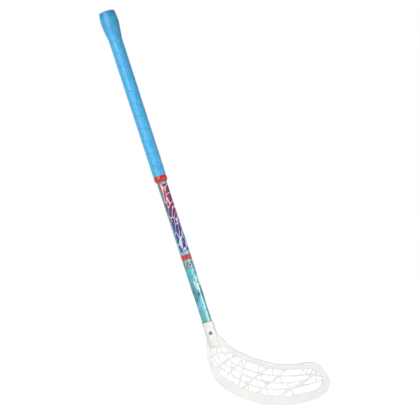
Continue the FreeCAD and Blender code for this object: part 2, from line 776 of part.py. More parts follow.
def make_gusset_wedge():
    """A wedge that fades from the socket's foot into the lattice; piercing leaves it as fins on the ribs."""
    body = add_body("gusset_wedge")
    sketch = add_sketch(body, "gusset_profile", "YZ_Plane")
    half_depth = size["gusset_depth"] / 2
    half_foot = size["lattice_depth"] / 4
    foot = socket_foot_height - size["gusset_height"]
    draw_outline(sketch, (
        (-half_depth, socket_foot_height, STRAIGHT),
        (-half_foot, foot, STRAIGHT),
        (half_foot, foot, STRAIGHT),
        (half_depth, socket_foot_height, STRAIGHT),
    ))
    wedge = body.newObject("PartDesign::Pad", "wedge")
    wedge.Profile = sketch
    wedge.Midplane = True
    bind(wedge, Length=size["gusset_width"])
    bind(body, Placement__Base__x=heel_x + size["heel_to_axis"], Placement__Base__y=axis_y)
    return body


def add_cylinder(name, radius, height):
    cylinder = doc.addObject("Part::Cylinder", name)
    bind(cylinder, Radius=radius, Height=height)
    return cylinder


def add_socket_cutters():
    """The bore for the shaft, the screw holes, and a flat seat for each screw head."""
    bore = add_cylinder("socket_bore", socket_radius, size["socket_depth"] + overrun)
    stand_on_shaft_axis(bore, tube_foot)
    reach = size["tube_diameter"]
    hole = add_cylinder("screw_hole", shank_hole_radius, reach * 2)
    face_forward(hole, screw_height, -reach)
    seat_radius = size["screw_head_diameter"] / 2 + size["screw_clearance"]
    front_seat = add_cylinder("front_seat", seat_radius, overrun)
    face_forward(front_seat, screw_height, screw_seat)
    back_seat = add_cylinder("back_seat", seat_radius, overrun)
    face_forward(back_seat, screw_height, -(screw_seat + overrun))
    return fuse("socket_cutters", [bore, hole, front_seat, back_seat])


def make_blade():
    outline = add_blade_outline()
    window = add_window()
    blank = combine("Part::Common", "blade_blank", extrude(outline), make_dish("rim_dish", size["rim_depth"]))
    web_dish = make_dish("web_dish", size["lattice_depth"])
    recess = combine("Part::Cut", "window_recess", extrude(window), web_dish)
    webbed = combine("Part::Cut", "webbed_blade", bevel_rim(blank, outline), recess)
    moulding = fuse("moulding", [webbed, make_socket_body(), make_gusset_wedge()])
    bored = combine("Part::Cut", "bored_blade", moulding, add_socket_cutters())
    return combine("Part::Cut", "blade", bored, extrude(add_openings(window)))


def make_blade_screws():
    """Two pan-head screws, one from the front and one from the back of the socket."""
    screw = add_body("front_screw")
    shank_radius = size["screw_shank_diameter"] / 2
    head_radius = size["screw_head_diameter"] / 2
    head_height = size["screw_head_height"]
    bevel = size["screw_head_bevel"]
    turn(screw, "screw_blank", (
        (zero, -size["screw_shank_length"], STRAIGHT),
        (shank_radius, size["screw_point_length"] - size["screw_shank_length"], STRAIGHT),
        (shank_radius, zero, STRAIGHT),
        (head_radius, zero, STRAIGHT),
        (head_radius, head_height - bevel, STRAIGHT),
        (head_radius - bevel, head_height, STRAIGHT),
        (zero, head_height, STRAIGHT),
    ))
    sketch = add_sketch(screw, "cross_sketch", "XY_Plane")
    bind(sketch, AttachmentOffset__Base__z=head_height)
    reach = size["screw_slot_length"] / 2
    half = size["screw_slot_width"] / 2
    corners = (
        (reach, -half), (reach, half), (half, half), (half, reach), (-half, reach), (-half, half),
        (-reach, half), (-reach, -half), (-half, -half), (-half, -reach), (half, -reach), (half, -half),
    )
    draw_outline(sketch, [(x, y, STRAIGHT) for x, y in corners])
    cross = screw.newObject("PartDesign::Pocket", "cross_recess")
    cross.Profile = sketch
    bind(cross, Length=size["screw_slot_depth"])
    face_forward(screw, screw_height, screw_seat)
    back = doc.addObject("Part::Mirroring", "back_screw")
    back.Source = screw
    back.Normal = Vector(0, 1, 0)
    bind(back, Base__y=axis_y)
    pair = doc.addObject("Part::Compound", "blade_screws")
    pair.Links = [screw, back]
    return pair


SUB_PARTS = [
    make_shaft_tube(),
    make_print_film(),
    make_knob_collar(),
    make_end_plug(),
    make_grip_ring(),
    make_grip_wrap(),
    make_blade(),
    make_blade_screws(),
]

doc.recompute()
for obj in doc.Objects:
    if "Invalid" in obj.State or "Error" in obj.State:
        raise RuntimeError(f"{obj.Name} did not build: {obj.State}")
for part in SUB_PARTS:
    if part.Shape.isNull() or not part.Shape.isValid():
        raise RuntimeError(f"{part.Label} has no valid shape")

os.makedirs("parts", exist_ok=True)
for part in SUB_PARTS:
    part.Shape.exportStep(f"parts/{part.Label}.step")
    print(f"{part.Label}: {part.Shape.Volume:.0f} cubic mm, {len(part.Shape.Solids)} solid")
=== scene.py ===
# %% [markdown]
# # A children's floorball stick
# The stick stands in playing position: the flat sole of its white blade on the floor, the shaft leaning
# back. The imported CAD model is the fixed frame, so it gives the places and the sizes. This lesson dresses
# it: before each step a few sentences say what a piece or finish is on the real stick, and why it is made
# this way.

# %% Load the frame
import json
import math

import bpy
import numpy as np
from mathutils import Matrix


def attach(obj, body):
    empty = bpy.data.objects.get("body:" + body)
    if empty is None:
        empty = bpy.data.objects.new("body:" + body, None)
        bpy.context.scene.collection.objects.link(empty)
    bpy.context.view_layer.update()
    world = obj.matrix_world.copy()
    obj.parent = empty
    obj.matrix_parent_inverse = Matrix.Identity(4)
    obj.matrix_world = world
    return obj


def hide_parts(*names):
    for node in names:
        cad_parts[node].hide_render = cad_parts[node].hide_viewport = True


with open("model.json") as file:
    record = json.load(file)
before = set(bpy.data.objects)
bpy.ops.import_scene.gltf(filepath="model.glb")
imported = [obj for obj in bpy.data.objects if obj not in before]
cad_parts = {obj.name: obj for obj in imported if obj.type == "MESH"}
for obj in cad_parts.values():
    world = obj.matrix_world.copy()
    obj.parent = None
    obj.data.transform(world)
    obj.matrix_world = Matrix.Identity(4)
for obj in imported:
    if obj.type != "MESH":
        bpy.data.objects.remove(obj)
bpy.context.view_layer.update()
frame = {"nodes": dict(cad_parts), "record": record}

# %% [markdown]
# ## Measuring along the shaft
# Grip, ring and print all sit on one straight axis, so their surfaces are easiest to write as a radius, an
# angle round the axis and a drop below the butt end. The record's mount on the butt face gives that axis.
# All lengths are in metres. Modelling upright and turning each object afterwards would work too, but it
# leaves a rotation on the object, and a pattern on Object coordinates would turn with it.

# %% Shaft axes
mounts = {mount["name"]: mount for mount in frame["record"]["mounts"]}
butt_centre = np.array(mounts["butt_face"]["pos_m"])
up_shaft = np.array(mounts["butt_face"]["axis"])
to_front = np.array((0.0, -1.0, 0.0))
to_right = np.cross(up_shaft, to_front)


def shaft_points(radius, angle, drop):
    """The axis at a drop below the butt end, plus the radius along the front turned by the angle."""
    radius, angle, drop = np.broadcast_arrays(radius, angle, drop)
    outwards = np.multiply.outer(np.cos(angle), to_front) + np.multiply.outer(np.sin(angle), to_right)
    return butt_centre - np.multiply.outer(drop, up_shaft) + radius[..., None] * outwards


def shaft_measures(node):
    """The smallest and largest drop of a CAD node's corners, and their largest distance from the axis."""
    mesh = frame["nodes"][node].data
    corners = np.empty(3 * len(mesh.vertices), np.float32)
    mesh.vertices.foreach_get("co", corners)
    offset = corners.reshape(-1, 3) - butt_centre
    drop = -(offset @ up_shaft)
    radius = np.linalg.norm(offset + np.outer(drop, up_shaft), axis=1)
    return float(drop.min()), float(drop.max()), float(radius.max())


_, grip_foot, knob_radius = shaft_measures("grip_wrap")
ring_top, ring_foot, ring_radius = shaft_measures("grip_ring")
film_top, film_foot, film_radius = shaft_measures("print_film")
for label, foot in (("grip", grip_foot), ("ring", ring_foot), ("print", film_foot)):
    print(f"{label} ends {1000 * foot:.1f} mm below the butt end")

# %% [markdown]
# ## From a grid of points to a mesh
# Every new piece below is a grid of points: a profile carried along a path. One helper joins the points to
# quads. A direction can close on itself, and the two open ends of a sweep can get a cap. The signed volume
# of each sweep shows whether its faces point outwards, so no piece can be inside out by mistake.

# %% Grid helpers
SHARP_EDGE = math.radians(38)


def sweep_faces(points, ends):
    """Quads between neighbours on a grid of closed sections, then a ring or two caps, facing outwards."""
    rows, columns = points.shape[:2]
    index = np.arange(rows * columns).reshape(rows, columns)
    caps = [index[0], index[-1, ::-1]] if ends == "capped" else []
    index = np.hstack((index, index[:, :1]))
    if ends == "ring":
        index = np.vstack((index, index[:1]))
    quads = np.stack((index[:-1, :-1], index[1:, :-1], index[1:, 1:], index[:-1, 1:]), axis=-1).reshape(-1, 4)
    flat = points.reshape(-1, 3) - points.reshape(-1, 3).mean(axis=0)
    one, two, three, four = np.moveaxis(flat[quads], 1, 0)
    volume = np.sum(one * np.cross(two, three)) + np.sum(one * np.cross(three, four))
    if volume < 0:
        return quads[:, ::-1], [cap[::-1] for cap in caps]
    return quads, caps


def sweep_piece(name, *sweeps):
    """One object of one or more sweeps with their ends, smooth but for sharp edges, riding on the stick."""
    points = np.concatenate([sweep.reshape(-1, 3) for sweep, _ in sweeps])
    faces = []
    first = 0
    for sweep, ends in sweeps:
        quads, caps = sweep_faces(sweep, ends)
        faces += (first + quads).tolist() + [(first + cap).tolist() for cap in caps]
        first += sweep.shape[0] * sweep.shape[1]
    mesh = bpy.data.meshes.new(name)
    mesh.from_pydata(points.tolist(), [], faces)
    mesh.shade_smooth()
    mesh.set_sharp_from_angle(angle=SHARP_EDGE)
    piece = bpy.data.objects.new(name, mesh)
    bpy.context.scene.collection.objects.link(piece)
    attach(piece, "root")
    print(f"{name}: {len(mesh.polygons)} faces")
    return piece


# %% [markdown]
# ## The wound grip
# The grip is one soft ribbon, wound in a left-handed spiral from the knob down to the ring. Each lower turn
# laps over the edge of the turn above it, which leaves a fine stepped line on the grip. A bump map could
# fake that line, but then the outline stays straight, so the ribbon itself is modelled: a flat rounded
# section carried along the spiral. First comes the outside that it is wound on.

# %% Outside of the grip
KNOB_TOP_RADIUS = 0.0164
KNOB_PEAK_DROP = 0.022
KNOB_LENGTH = 0.065
NECK_RADIUS = 0.01395
GRIP_FOOT_RADIUS = 0.0134
RIM_ROUNDING = 0.0014


def side_radius(drop):
    """A parabola from the butt end to the knob's peak, two half parabolas to the neck, then a slow taper."""
    above = np.clip((KNOB_PEAK_DROP - drop) / (KNOB_PEAK_DROP - RIM_ROUNDING), 0, 1)
    swell = np.clip((KNOB_LENGTH - drop) / (KNOB_LENGTH - KNOB_PEAK_DROP), 0, 1)
    swell = np.where(swell < 0.5, 2 * swell ** 2, 1 - 2 * (1 - swell) ** 2)
    taper = np.clip((drop - KNOB_LENGTH) / (grip_foot - KNOB_LENGTH), 0, 1)
    neck = NECK_RADIUS - (NECK_RADIUS - GRIP_FOOT_RADIUS) * taper
    return neck + (knob_radius - NECK_RADIUS) * swell - (knob_radius - KNOB_TOP_RADIUS) * above ** 2


def grip_outside(run):
    """Radius and drop after a run over the grip, from the butt face round its rim and down the side.

    A run below 0 lies on the flat butt face, the rim is a quarter circle, then comes the side's radius.
    """
    on_side = np.maximum(run, RIM_ROUNDING)
    bend = (1 - np.clip(run, 0, RIM_ROUNDING) / RIM_ROUNDING) * math.pi / 2
    radius = side_radius(on_side) - RIM_ROUNDING * (1 - np.cos(bend)) + np.minimum(run, 0)
    return radius, on_side - RIM_ROUNDING * np.sin(bend)


knob_mm, neck_mm = 1000 * side_radius(np.array((KNOB_PEAK_DROP, KNOB_LENGTH)))
print(f"knob radius {knob_mm:.1f} mm, neck {neck_mm:.1f} mm")

# %% [markdown]
# The ribbon's section runs from its upper lip, which shows, across its width to its lower edge, which the
# next turn hides. It dips before the next lap by most of its thickness, so the turns press on each other
# and no gap shows. Three slow waves keep it from looking machine-made.

# %% Section of the ribbon
SEAM_PITCH = 0.0262
LAP_STEP = 0.0005
LAP_SLOPE = 0.004
LIP_ROUNDING = 0.0003
WAVE_DEPTH = 0.00009
HAND_WAVES = (
    # waves in each turn, radians for each metre across the ribbon, radians at the start
    (1.37, 0, 0.9), (0.61, -160, 0), (2.9, 240, 0),
)


def smooth(share):
    """0 before a stretch, 1 after it, and an even S between."""
    share = np.clip(share, 0, 1)
    return share * share * (3 - 2 * share)


def ribbon_height(across):
    """Height of the ribbon's outside: level, then dipping by the lap's step just before the next turn."""
    return -LAP_STEP * smooth((across - SEAM_PITCH + LAP_SLOPE) / LAP_SLOPE)


def lip_fall(across):
    """How far the outside falls at the upper lip: a quarter circle."""
    reach = np.clip(LIP_ROUNDING - across, 0, LIP_ROUNDING)
    return LIP_ROUNDING - np.sqrt(LIP_ROUNDING ** 2 - reach ** 2)


def hand_waves(turns, across):
    """The mean of three slow sine waves along the ribbon, lowered so that it never leaves the outside."""
    waves = sum(np.sin(math.tau * rate * turns + slant * across + start) for rate, slant, start in HAND_WAVES)
    return -WAVE_DEPTH * (len(HAND_WAVES) + waves) / (2 * len(HAND_WAVES))


print(f"laps every {1000 * SEAM_PITCH:.1f} mm, each {1000 * LAP_STEP:.1f} mm high")

# %% Wound ribbon
FIRST_SEAM_DROP = 0.0114
LAP_WIDTH = 0.003
RIBBON_THICKNESS = 0.0006
LEAST_WIDTH = 0.002
STEPS_PER_TURN = 72
LIP_SHARE = 0.012
SLOPE_SHARE = 0.72
SECTION_SHARES = np.concatenate((
    # few steps where the ribbon is level, many on the lip and on the slope under the next lap
    np.linspace(0, LIP_SHARE, 4, endpoint=False),
    np.linspace(LIP_SHARE, SLOPE_SHARE, 9, endpoint=False),
    np.linspace(SLOPE_SHARE, 1, 13),
))
NEARBY = 1e-5
plug_radius = shaft_measures("end_plug")[2]


def wound_ribbon():
    """At each place along the spiral: the section's loop, laid on the grip's outside along its normal."""
    width = SEAM_PITCH + LAP_WIDTH
    butt_run = plug_radius - grip_outside(np.zeros(1))[0][0]
    first = (butt_run + LEAST_WIDTH - width - FIRST_SEAM_DROP) / SEAM_PITCH
    last = (grip_foot - LEAST_WIDTH - FIRST_SEAM_DROP) / SEAM_PITCH
    turns = np.linspace(first, last, int((last - first) * STEPS_PER_TURN))[:, None]
    seam = FIRST_SEAM_DROP + SEAM_PITCH * turns
    low = np.maximum(0, butt_run - seam)
    high = np.minimum(width, grip_foot - seam)
    across = low + (high - low) * SECTION_SHARES
    level = ribbon_height(across) + hand_waves(turns, across)
    height = np.hstack((level - lip_fall(across), (level - RIBBON_THICKNESS)[:, ::-1]))
    run = np.hstack((seam + across, (seam + across)[:, ::-1]))
    radius, drop = grip_outside(run)
    near_radius, near_drop = grip_outside(run + NEARBY)
    slope = np.arctan2(near_radius - radius, near_drop - drop)
    return shaft_points(radius + height * np.cos(slope), math.tau * turns, drop - height * np.sin(slope))


grip_ribbon = sweep_piece("grip_ribbon", (wound_ribbon(), "capped"))
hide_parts("grip_wrap")

# %% [markdown]
# ## The finishing ring
# A glossy rubber ring closes the lower end of the grip. It bulges a little and thins out to a lip on the
# print. It is a turned shape: one closed profile of radius and drop, carried round the axis. A Screw
# modifier could turn a drawn profile too, but a profile from a formula takes its sizes from the CAD model
# by itself.

# %% Turned pieces
ROUND_STEPS = 128


def turned_piece(name, profile):
    """Carry a closed profile of (radius, drop) rows once round the shaft axis."""
    angle = np.linspace(0, math.tau, ROUND_STEPS, endpoint=False)[:, None]
    radius, drop = np.array(profile).T
    return sweep_piece(name, (shaft_points(radius[None, :], angle, drop[None, :]), "ring"))


print("turned pieces have", ROUND_STEPS, "steps round the shaft")

# %% Finishing ring
RING_LIP_WALL = 0.0008
RING_LIP_CURL = 0.0004
RING_BELLY = 0.545
RING_TOP_FALL = 0.001
RING_TOP_BEND = 1.5
RING_STEPS = 40
BORE_STEPS = 4


def ring_profile():
    """A rounded lip, a quarter wave out to the belly, a shorter one in to the top, then down the bore."""
    share = np.concatenate((np.zeros(1), np.linspace(0, 1, RING_STEPS)))
    below = np.clip(share / RING_BELLY, 0, 1)
    above = np.clip((share - RING_BELLY) / (1 - RING_BELLY), 0, 1)
    lip = film_radius + RING_LIP_WALL
    swell = (ring_radius - lip) * np.sin(below * math.pi / 2)
    fall = RING_TOP_FALL * (1 - np.cos(above * math.pi / 2)) ** RING_TOP_BEND
    outside = lip + swell - fall
    outside[0] = lip - RING_LIP_CURL
    height = share * (ring_foot - ring_top)
    height[1] += RING_LIP_CURL / 2
    bore = np.linspace(1, 0, BORE_STEPS) * (ring_foot - ring_top)
    radius = np.concatenate((outside, np.full(BORE_STEPS, film_radius)))
    return np.column_stack((radius, ring_foot - np.concatenate((height, bore))))


finishing_ring = turned_piece("finishing_ring", ring_profile())
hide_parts("grip_ring")

# %% [markdown]
# ## The printed sleeve
# The print is on a thin plastic sleeve that is shrunk on the tube with heat, which leaves faint waves in
# it. They are too low to see as shapes, but they stir the long highlight a little. A bump could do that
# too; in the profile of a turned piece they cost nothing.

# %% Printed sleeve
FILM_THICKNESS = 0.0002
FILM_EDGE = 0.00008
FILM_STEPS = 80
SHRINK_DEPTH = 0.00003
SHRINK_WAVES = (
    # radians for each metre, radians at the start
    (210, 0), (335, 1),
)


def film_profile():
    """Down the outside with the mean of two sine waves, round the lower edge, and back up the bore."""
    drop = np.linspace(film_top, film_foot - FILM_EDGE, FILM_STEPS)
    waves = sum(np.sin(drop * rate + start) for rate, start in SHRINK_WAVES)
    outside = film_radius - SHRINK_DEPTH * (len(SHRINK_WAVES) + waves) / (2 * len(SHRINK_WAVES))
    bore = film_radius - FILM_THICKNESS
    edge = ((film_radius - FILM_EDGE, film_foot), (bore, film_foot), (bore, film_top))
    return np.vstack((np.column_stack((outside, drop)), edge))


printed_sleeve = turned_piece("printed_sleeve", film_profile())
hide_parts("print_film")

# %% [markdown]
# ## The blade
# The blade is one injection moulding: a socket for the shaft, a broad rim and an open lattice of ribs,
# rounded wherever they meet, because hot plastic flows badly round sharp corners. Rounding hundreds of
# edges one by one would be slow, so the forms are made as simple sweeps that run into each other. A voxel
# remesh then unites them under one skin, and a few smoothing passes round every inner and outer corner at
# once. First come the blade's curves, as shares of its length from the heel and of its height from the
# sole: the outline, the window that the rim leaves open, and the two edges of a small web in the corner
# between the socket and the upper rim.

# %% Curves of the blade
BLADE_LENGTH = 0.247
BLADE_HEIGHT = 0.086
SOLE_MIDDLE = 0.599
OUTLINE = (
    (0.004, 1.64), (0.0, 1.4), (0.004, 1.14), (0.022, 0.9), (0.062, 0.64), (0.121, 0.42), (0.2, 0.26),
    (0.3, 0.135), (0.4, 0.045), (0.502, 0.0), (0.599, 0.0), (0.696, 0.0), (0.77, 0.04), (0.891, 0.158),
    (0.965, 0.3), (0.999, 0.55), (0.968, 0.763), (0.915, 0.942), (0.845, 1.005), (0.75, 0.97), (0.6, 0.95),
    (0.5, 1.005), (0.39, 1.09), (0.29, 1.215), (0.195, 1.36), (0.135, 1.54), (0.085, 1.66),
)
WINDOW = (
    (0.048, 1.6), (0.042, 1.45), (0.041, 1.3), (0.045, 1.15), (0.077, 0.9), (0.125, 0.7), (0.2, 0.55),
    (0.3, 0.395), (0.42, 0.28), (0.55, 0.222), (0.69, 0.235), (0.81, 0.305), (0.9, 0.41), (0.932, 0.58),
    (0.903, 0.735), (0.83, 0.825), (0.74, 0.81), (0.6, 0.805), (0.47, 0.84), (0.375, 0.935), (0.265, 1.07),
    (0.187, 1.2), (0.15, 1.295), (0.115, 1.335), (0.092, 1.42), (0.075, 1.6),
)
WEB_FOOT = ((0.225, 1.135), (0.187, 1.205), (0.15, 1.295), (0.115, 1.335), (0.09, 1.35))
WEB_TOP = ((0.272, 1.19), (0.232, 1.265), (0.187, 1.34), (0.145, 1.46), (0.118, 1.55))


def blade_places(shares):
    """Shares of the blade's length and height as x and z in metres."""
    along, up = np.array(shares).T
    return np.column_stack(((along - SOLE_MIDDLE) * BLADE_LENGTH, up * BLADE_HEIGHT))


print("outline of", len(OUTLINE), "places, window of", len(WINDOW))

# %% [markdown]
# A curve is given by few places. A natural cubic spline runs through all of them without a kink, like a
# thin strip of wood held at these places. Blender's own curves could do that too, but the sweeps need
# arrays.

# %% Smooth curves


def smooth_curve(points, steps):
    """A natural cubic spline: slope and bend agree where spans meet, and the bend is zero at both ends."""
    gap = np.linalg.norm(np.diff(points, axis=0), axis=1)
    knot = np.concatenate(([0.0], np.cumsum(gap)))
    inner = np.arange(1, len(points) - 1)
    system = np.eye(len(points))
    system[inner, inner - 1] = gap[:-1]
    system[inner, inner] = 2 * (gap[:-1] + gap[1:])
    system[inner, inner + 1] = gap[1:]
    load = np.zeros_like(points)
    load[1:-1] = 6 * np.diff(np.diff(points, axis=0) / gap[:, None], axis=0)
    bend = np.linalg.solve(system, load)
    place = np.linspace(0, knot[-1], steps)
    span = np.clip(np.searchsorted(knot, place, side="right") - 1, 0, len(points) - 2)
    width = gap[span][:, None]
    before = place[:, None] - knot[span][:, None]
    after = width - before
    curved = (bend[span] * after ** 3 + bend[span + 1] * before ** 3) / (6 * width)
    first = points[span] / width - bend[span] * width / 6
    second = points[span + 1] / width - bend[span + 1] * width / 6
    return curved + first * after + second * before


RIM_STEPS = 460
outline = smooth_curve(blade_places(OUTLINE), RIM_STEPS)
outline[:, 1] = np.maximum(outline[:, 1], 0)
window = smooth_curve(blade_places(WINDOW), RIM_STEPS)
print(f"outline from {1000 * outline[:, 0].min():.1f} to {1000 * outline[:, 0].max():.1f} mm along the floor")

# %% [markdown]
# Seen from above, the blade is hooked forward like a shallow spoon, and towards the sole it is scooped
# forward as well. Both are circles, so one function gives the depth of the blade's middle for any place on
# it.

# %% Middle of the blade
HOOK_RADIUS = 1.9145
SCOOP_TOP = 0.0533
SCOOP_RADIUS = 0.3406
shaft_y = butt_centre[1]


def blade_middle(x, z):
    """Y on two circles: one along the blade from the heel, one from the top of the scoop to the sole."""
    below = np.maximum(SCOOP_TOP - z, 0)
    scoop = SCOOP_RADIUS - np.sqrt(SCOOP_RADIUS ** 2 - below ** 2)
    along = x + SOLE_MIDDLE * BLADE_LENGTH
    return shaft_y - HOOK_RADIUS + np.sqrt((HOOK_RADIUS - scoop) ** 2 - along ** 2)


hook = shaft_y - blade_middle(outline[:, 0].max(), SCOOP_TOP)
print(f"the toe is hooked forward by {1000 * hook:.1f} mm")

# %% [markdown]
# The rim is a broad border with rounded edges. For each place on the outline the nearest one on the window
# is looked up, and an oblong section joins the two. The nearest places jump where the curves bend, so a
# running mean evens them out. A web with the same section fills the corner between the socket and the upper
# rim.

# %% Rim and web
RIM_DEPTH = 0.009
OUTER_ROUND = 0.0024
INNER_ROUND = 0.0016
RIM_BLUR = 14
EDGE_STEPS = 8
LEVEL_STEPS = 5
WEB_STEPS = 40


def oblong_sweep(inner, outer):
    """Between two curves on the blade: an oblong section with a rounded edge at either side."""
    width = np.linalg.norm(outer - inner, axis=1)[:, None]
    quarter = np.linspace(0, math.pi / 2, EDGE_STEPS)[None, :]
    foot = np.repeat(INNER_ROUND * (1 - np.cos(quarter)), len(inner), axis=0)
    nose = OUTER_ROUND * (1 - np.cos(quarter[:, ::-1]))
    between = np.linspace(0, 1, LEVEL_STEPS + 2)[None, 1:-1]
    level = INNER_ROUND + (width - OUTER_ROUND - INNER_ROUND) * between
    across = np.hstack((foot, level, width - nose))
    edge = np.sin(quarter[0])
    rise = np.concatenate((edge, np.ones(LEVEL_STEPS), edge[::-1])) * RIM_DEPTH / 2
    across = np.hstack((across, across[:, -2:0:-1]))
    rise = np.concatenate((rise, -rise[-2:0:-1]))
    place = inner[:, None] + (outer - inner)[:, None] / width[:, None] * across[..., None]
    y = blade_middle(place[..., 0], place[..., 1]) - rise[None, :]
    return np.stack((place[..., 0], y, place[..., 1]), axis=-1)


def rim_sweep():
    """The oblong section between each place on the outline and its nearest on the window."""
    nearest = np.linalg.norm(outline[:, None] - window[None], axis=2).argmin(axis=1)
    nearest = np.pad(np.maximum.accumulate(nearest), RIM_BLUR, mode="edge")
    nearest = np.convolve(nearest, np.ones(2 * RIM_BLUR + 1) / (2 * RIM_BLUR + 1), mode="valid")
    steps = np.arange(RIM_STEPS)
    inner = np.column_stack([np.interp(nearest, steps, window[:, axis]) for axis in (0, 1)])
    return oblong_sweep(inner, outline)


def corner_web():
    """The same section across the corner between socket, window and upper rim."""
    foot, top = (smooth_curve(blade_places(shares), WEB_STEPS) for shares in (WEB_FOOT, WEB_TOP))
    return oblong_sweep(foot, top)


print("rim sweep of", rim_sweep().shape[:2], "points, corner web of", corner_web().shape[:2])

# %% [markdown]
# The socket is a slim cone about the shaft axis with a bore for the tube. Below the tube's end it flattens
# and fades between the ribs, and its foot is level although the shaft leans.

# %% Socket
SOCKET_PROFILE = (
    # drop below the butt end, half width and half depth, all in millimetres
    (650.2, 10.6, 10.6), (650.2, 12.0, 12.0), (650.7, 12.5, 12.5), (651.4, 12.7, 12.7), (665.0, 12.6, 12.6),
    (680.0, 12.5, 12.5), (690.0, 12.5, 12.4), (697.0, 12.6, 12.1), (699.5, 12.6, 11.7), (701.5, 12.4, 10.8),
    (703.4, 11.9, 9.6), (704.8, 10.8, 8.2), (705.6, 8.5, 6.2), (705.9, 5.0, 3.6), (706.0, 0.0, 0.0),
    (698.6, 0.0, 0.0), (698.3, 10.4, 10.4), (690.0, 10.6, 10.6),
)
SOCKET_STEPS = 96
SHEAR_START = 0.684
SHEAR_LENGTH = 0.02
LEAN = math.tan(math.radians(18))


def socket_sweep():
    """The profile carried round the shaft axis as an ellipse, sheared at the tube's end to a level foot."""
    drop, half_width, half_depth = np.array(SOCKET_PROFILE).T[:, None, :] / 1000
    angle = np.linspace(0, math.tau, SOCKET_STEPS, endpoint=False)[:, None]
    sideways = half_width * np.sin(angle)
    level = drop + sideways * LEAN * smooth((drop - SHEAR_START) / SHEAR_LENGTH)
    centre = butt_centre - np.multiply.outer(level, up_shaft)
    depth = half_depth * np.cos(angle)
    return centre + sideways[..., None] * to_right + depth[..., None] * to_front


print("socket sweep of", socket_sweep().shape[:2], "points")

# %% [markdown]
# The ribs are rounded bars. Three long ones fan out from the socket to the toe, seven slant across them,
# and short ones brace the gaps, so that the blade stays stiff with little plastic. Near the toe two of the
# long ribs end in a thick hub, and where they leave the socket all three are deeper, like small fins. Thin
# white ribs hardly show before white, so they are made about half as broad again as in the CAD model.

# %% Places of the ribs
LONG_RIBS = (
    ((0.109, 1.36), (0.15, 1.15), (0.223, 0.965), (0.3, 0.85), (0.43, 0.72), (0.6, 0.665), (0.73, 0.67),
     (0.83, 0.72)),
    ((0.085, 1.36), (0.089, 1.18), (0.138, 0.95), (0.219, 0.82), (0.37, 0.615), (0.56, 0.505), (0.73, 0.535),
     (0.83, 0.62)),
    ((0.057, 1.36), (0.058, 1.14), (0.1, 0.9), (0.174, 0.745), (0.26, 0.59), (0.43, 0.395), (0.6, 0.355),
     (0.76, 0.43), (0.95, 0.6)),
)
SLANT_RIBS = (
    ((0.02, 1.09), (0.081, 1.165), (0.146, 1.18), (0.235, 1.2)),
    ((0.065, 0.815), (0.13, 0.92), (0.186, 1.045), (0.26, 1.16)),
    ((0.148, 0.56), (0.19, 0.73), (0.24, 0.89), (0.31, 1.07)),
    ((0.257, 0.36), (0.28, 0.605), (0.3, 0.79), (0.335, 1.07)),
    ((0.275, 0.325), (0.364, 0.547), (0.43, 0.7), (0.525, 0.89)),
    ((0.395, 0.2), (0.474, 0.407), (0.59, 0.675), (0.66, 0.87)),
    ((0.57, 0.13), (0.664, 0.337), (0.785, 0.523), (0.834, 0.63), (0.91, 0.82)),
)
SHORT_RIBS = (
    ((0.113, 0.88), (0.113, 0.66)), ((0.207, 1.0), (0.206, 0.8)), ((0.287, 1.06), (0.297, 0.86)),
    ((0.206, 0.8), (0.229, 0.46)), ((0.326, 0.67), (0.33, 0.48)), ((0.34, 0.5), (0.348, 0.26)),
    ((0.426, 0.95), (0.43, 0.72)), ((0.449, 0.7), (0.453, 0.56)), ((0.475, 0.54), (0.478, 0.37)),
    ((0.494, 0.37), (0.498, 0.16)), ((0.538, 0.86), (0.542, 0.68)), ((0.593, 0.67), (0.615, 0.5)),
    ((0.64, 0.51), (0.68, 0.36)), ((0.688, 0.37), (0.716, 0.18)), ((0.804, 0.88), (0.752, 0.68)),
    ((0.833, 0.88), (0.789, 0.69)), ((0.873, 0.86), (0.836, 0.7)), ((0.9, 0.5), (0.875, 0.7)),
    ((0.84, 0.71), (0.95, 0.66)),
)
HUB = ((0.834, 0.6), (0.849, 0.76))
print(len(LONG_RIBS), "long ribs,", len(SLANT_RIBS), "slanting and", len(SHORT_RIBS), "short ones, and a hub")

# %% Ribs
RIB_DEPTH = 0.006
FIN_DEPTH = 0.017
FIN_TOP = 0.114
FIN_LENGTH = 0.014
LONG_WIDTH = 0.0042
SLANT_WIDTH = 0.0058
SHORT_WIDTH = 0.0038
HUB_WIDTH = 0.0082
RIB_STEP = 0.0012
RIB_SIDES = 20


def rib_sweep(shares, width, depth=RIB_DEPTH, fin_depth=FIN_DEPTH):
    """A rounded oblong along a curve on the blade's middle, deeper at the socket.

    The oblong is an ellipse with the square roots of its cosine and sine.
    """
    corners = blade_places(shares)
    length = np.linalg.norm(np.diff(corners, axis=0), axis=1).sum()
    path = smooth_curve(corners, int(length / RIB_STEP) + 2)
    along = np.gradient(path, axis=0)
    along /= np.linalg.norm(along, axis=1)[:, None]
    across = np.column_stack((-along[:, 1], along[:, 0]))
    angle = np.linspace(0, math.tau, RIB_SIDES, endpoint=False)
    sideways = np.sign(np.cos(angle)) * np.sqrt(np.abs(np.cos(angle)))
    forwards = np.sign(np.sin(angle)) * np.sqrt(np.abs(np.sin(angle)))
    place = path[:, None] + across[:, None] * (sideways * width / 2)[None, :, None]
    fin = smooth((path[:, 1] - FIN_TOP + FIN_LENGTH) / FIN_LENGTH)
    half_depth = (depth + (fin_depth - depth) * fin) / 2
    y = blade_middle(place[..., 0], place[..., 1]) - half_depth[:, None] * forwards[None, :]
    return np.stack((place[..., 0], y, place[..., 1]), axis=-1)


rib_sweeps = [rib_sweep(rib, LONG_WIDTH) for rib in LONG_RIBS]
rib_sweeps += [rib_sweep(rib, SLANT_WIDTH) for rib in SLANT_RIBS]
rib_sweeps += [rib_sweep(rib, SHORT_WIDTH) for rib in SHORT_RIBS]
rib_sweeps.append(rib_sweep(HUB, HUB_WIDTH))
print(len(rib_sweeps), "rib sweeps")

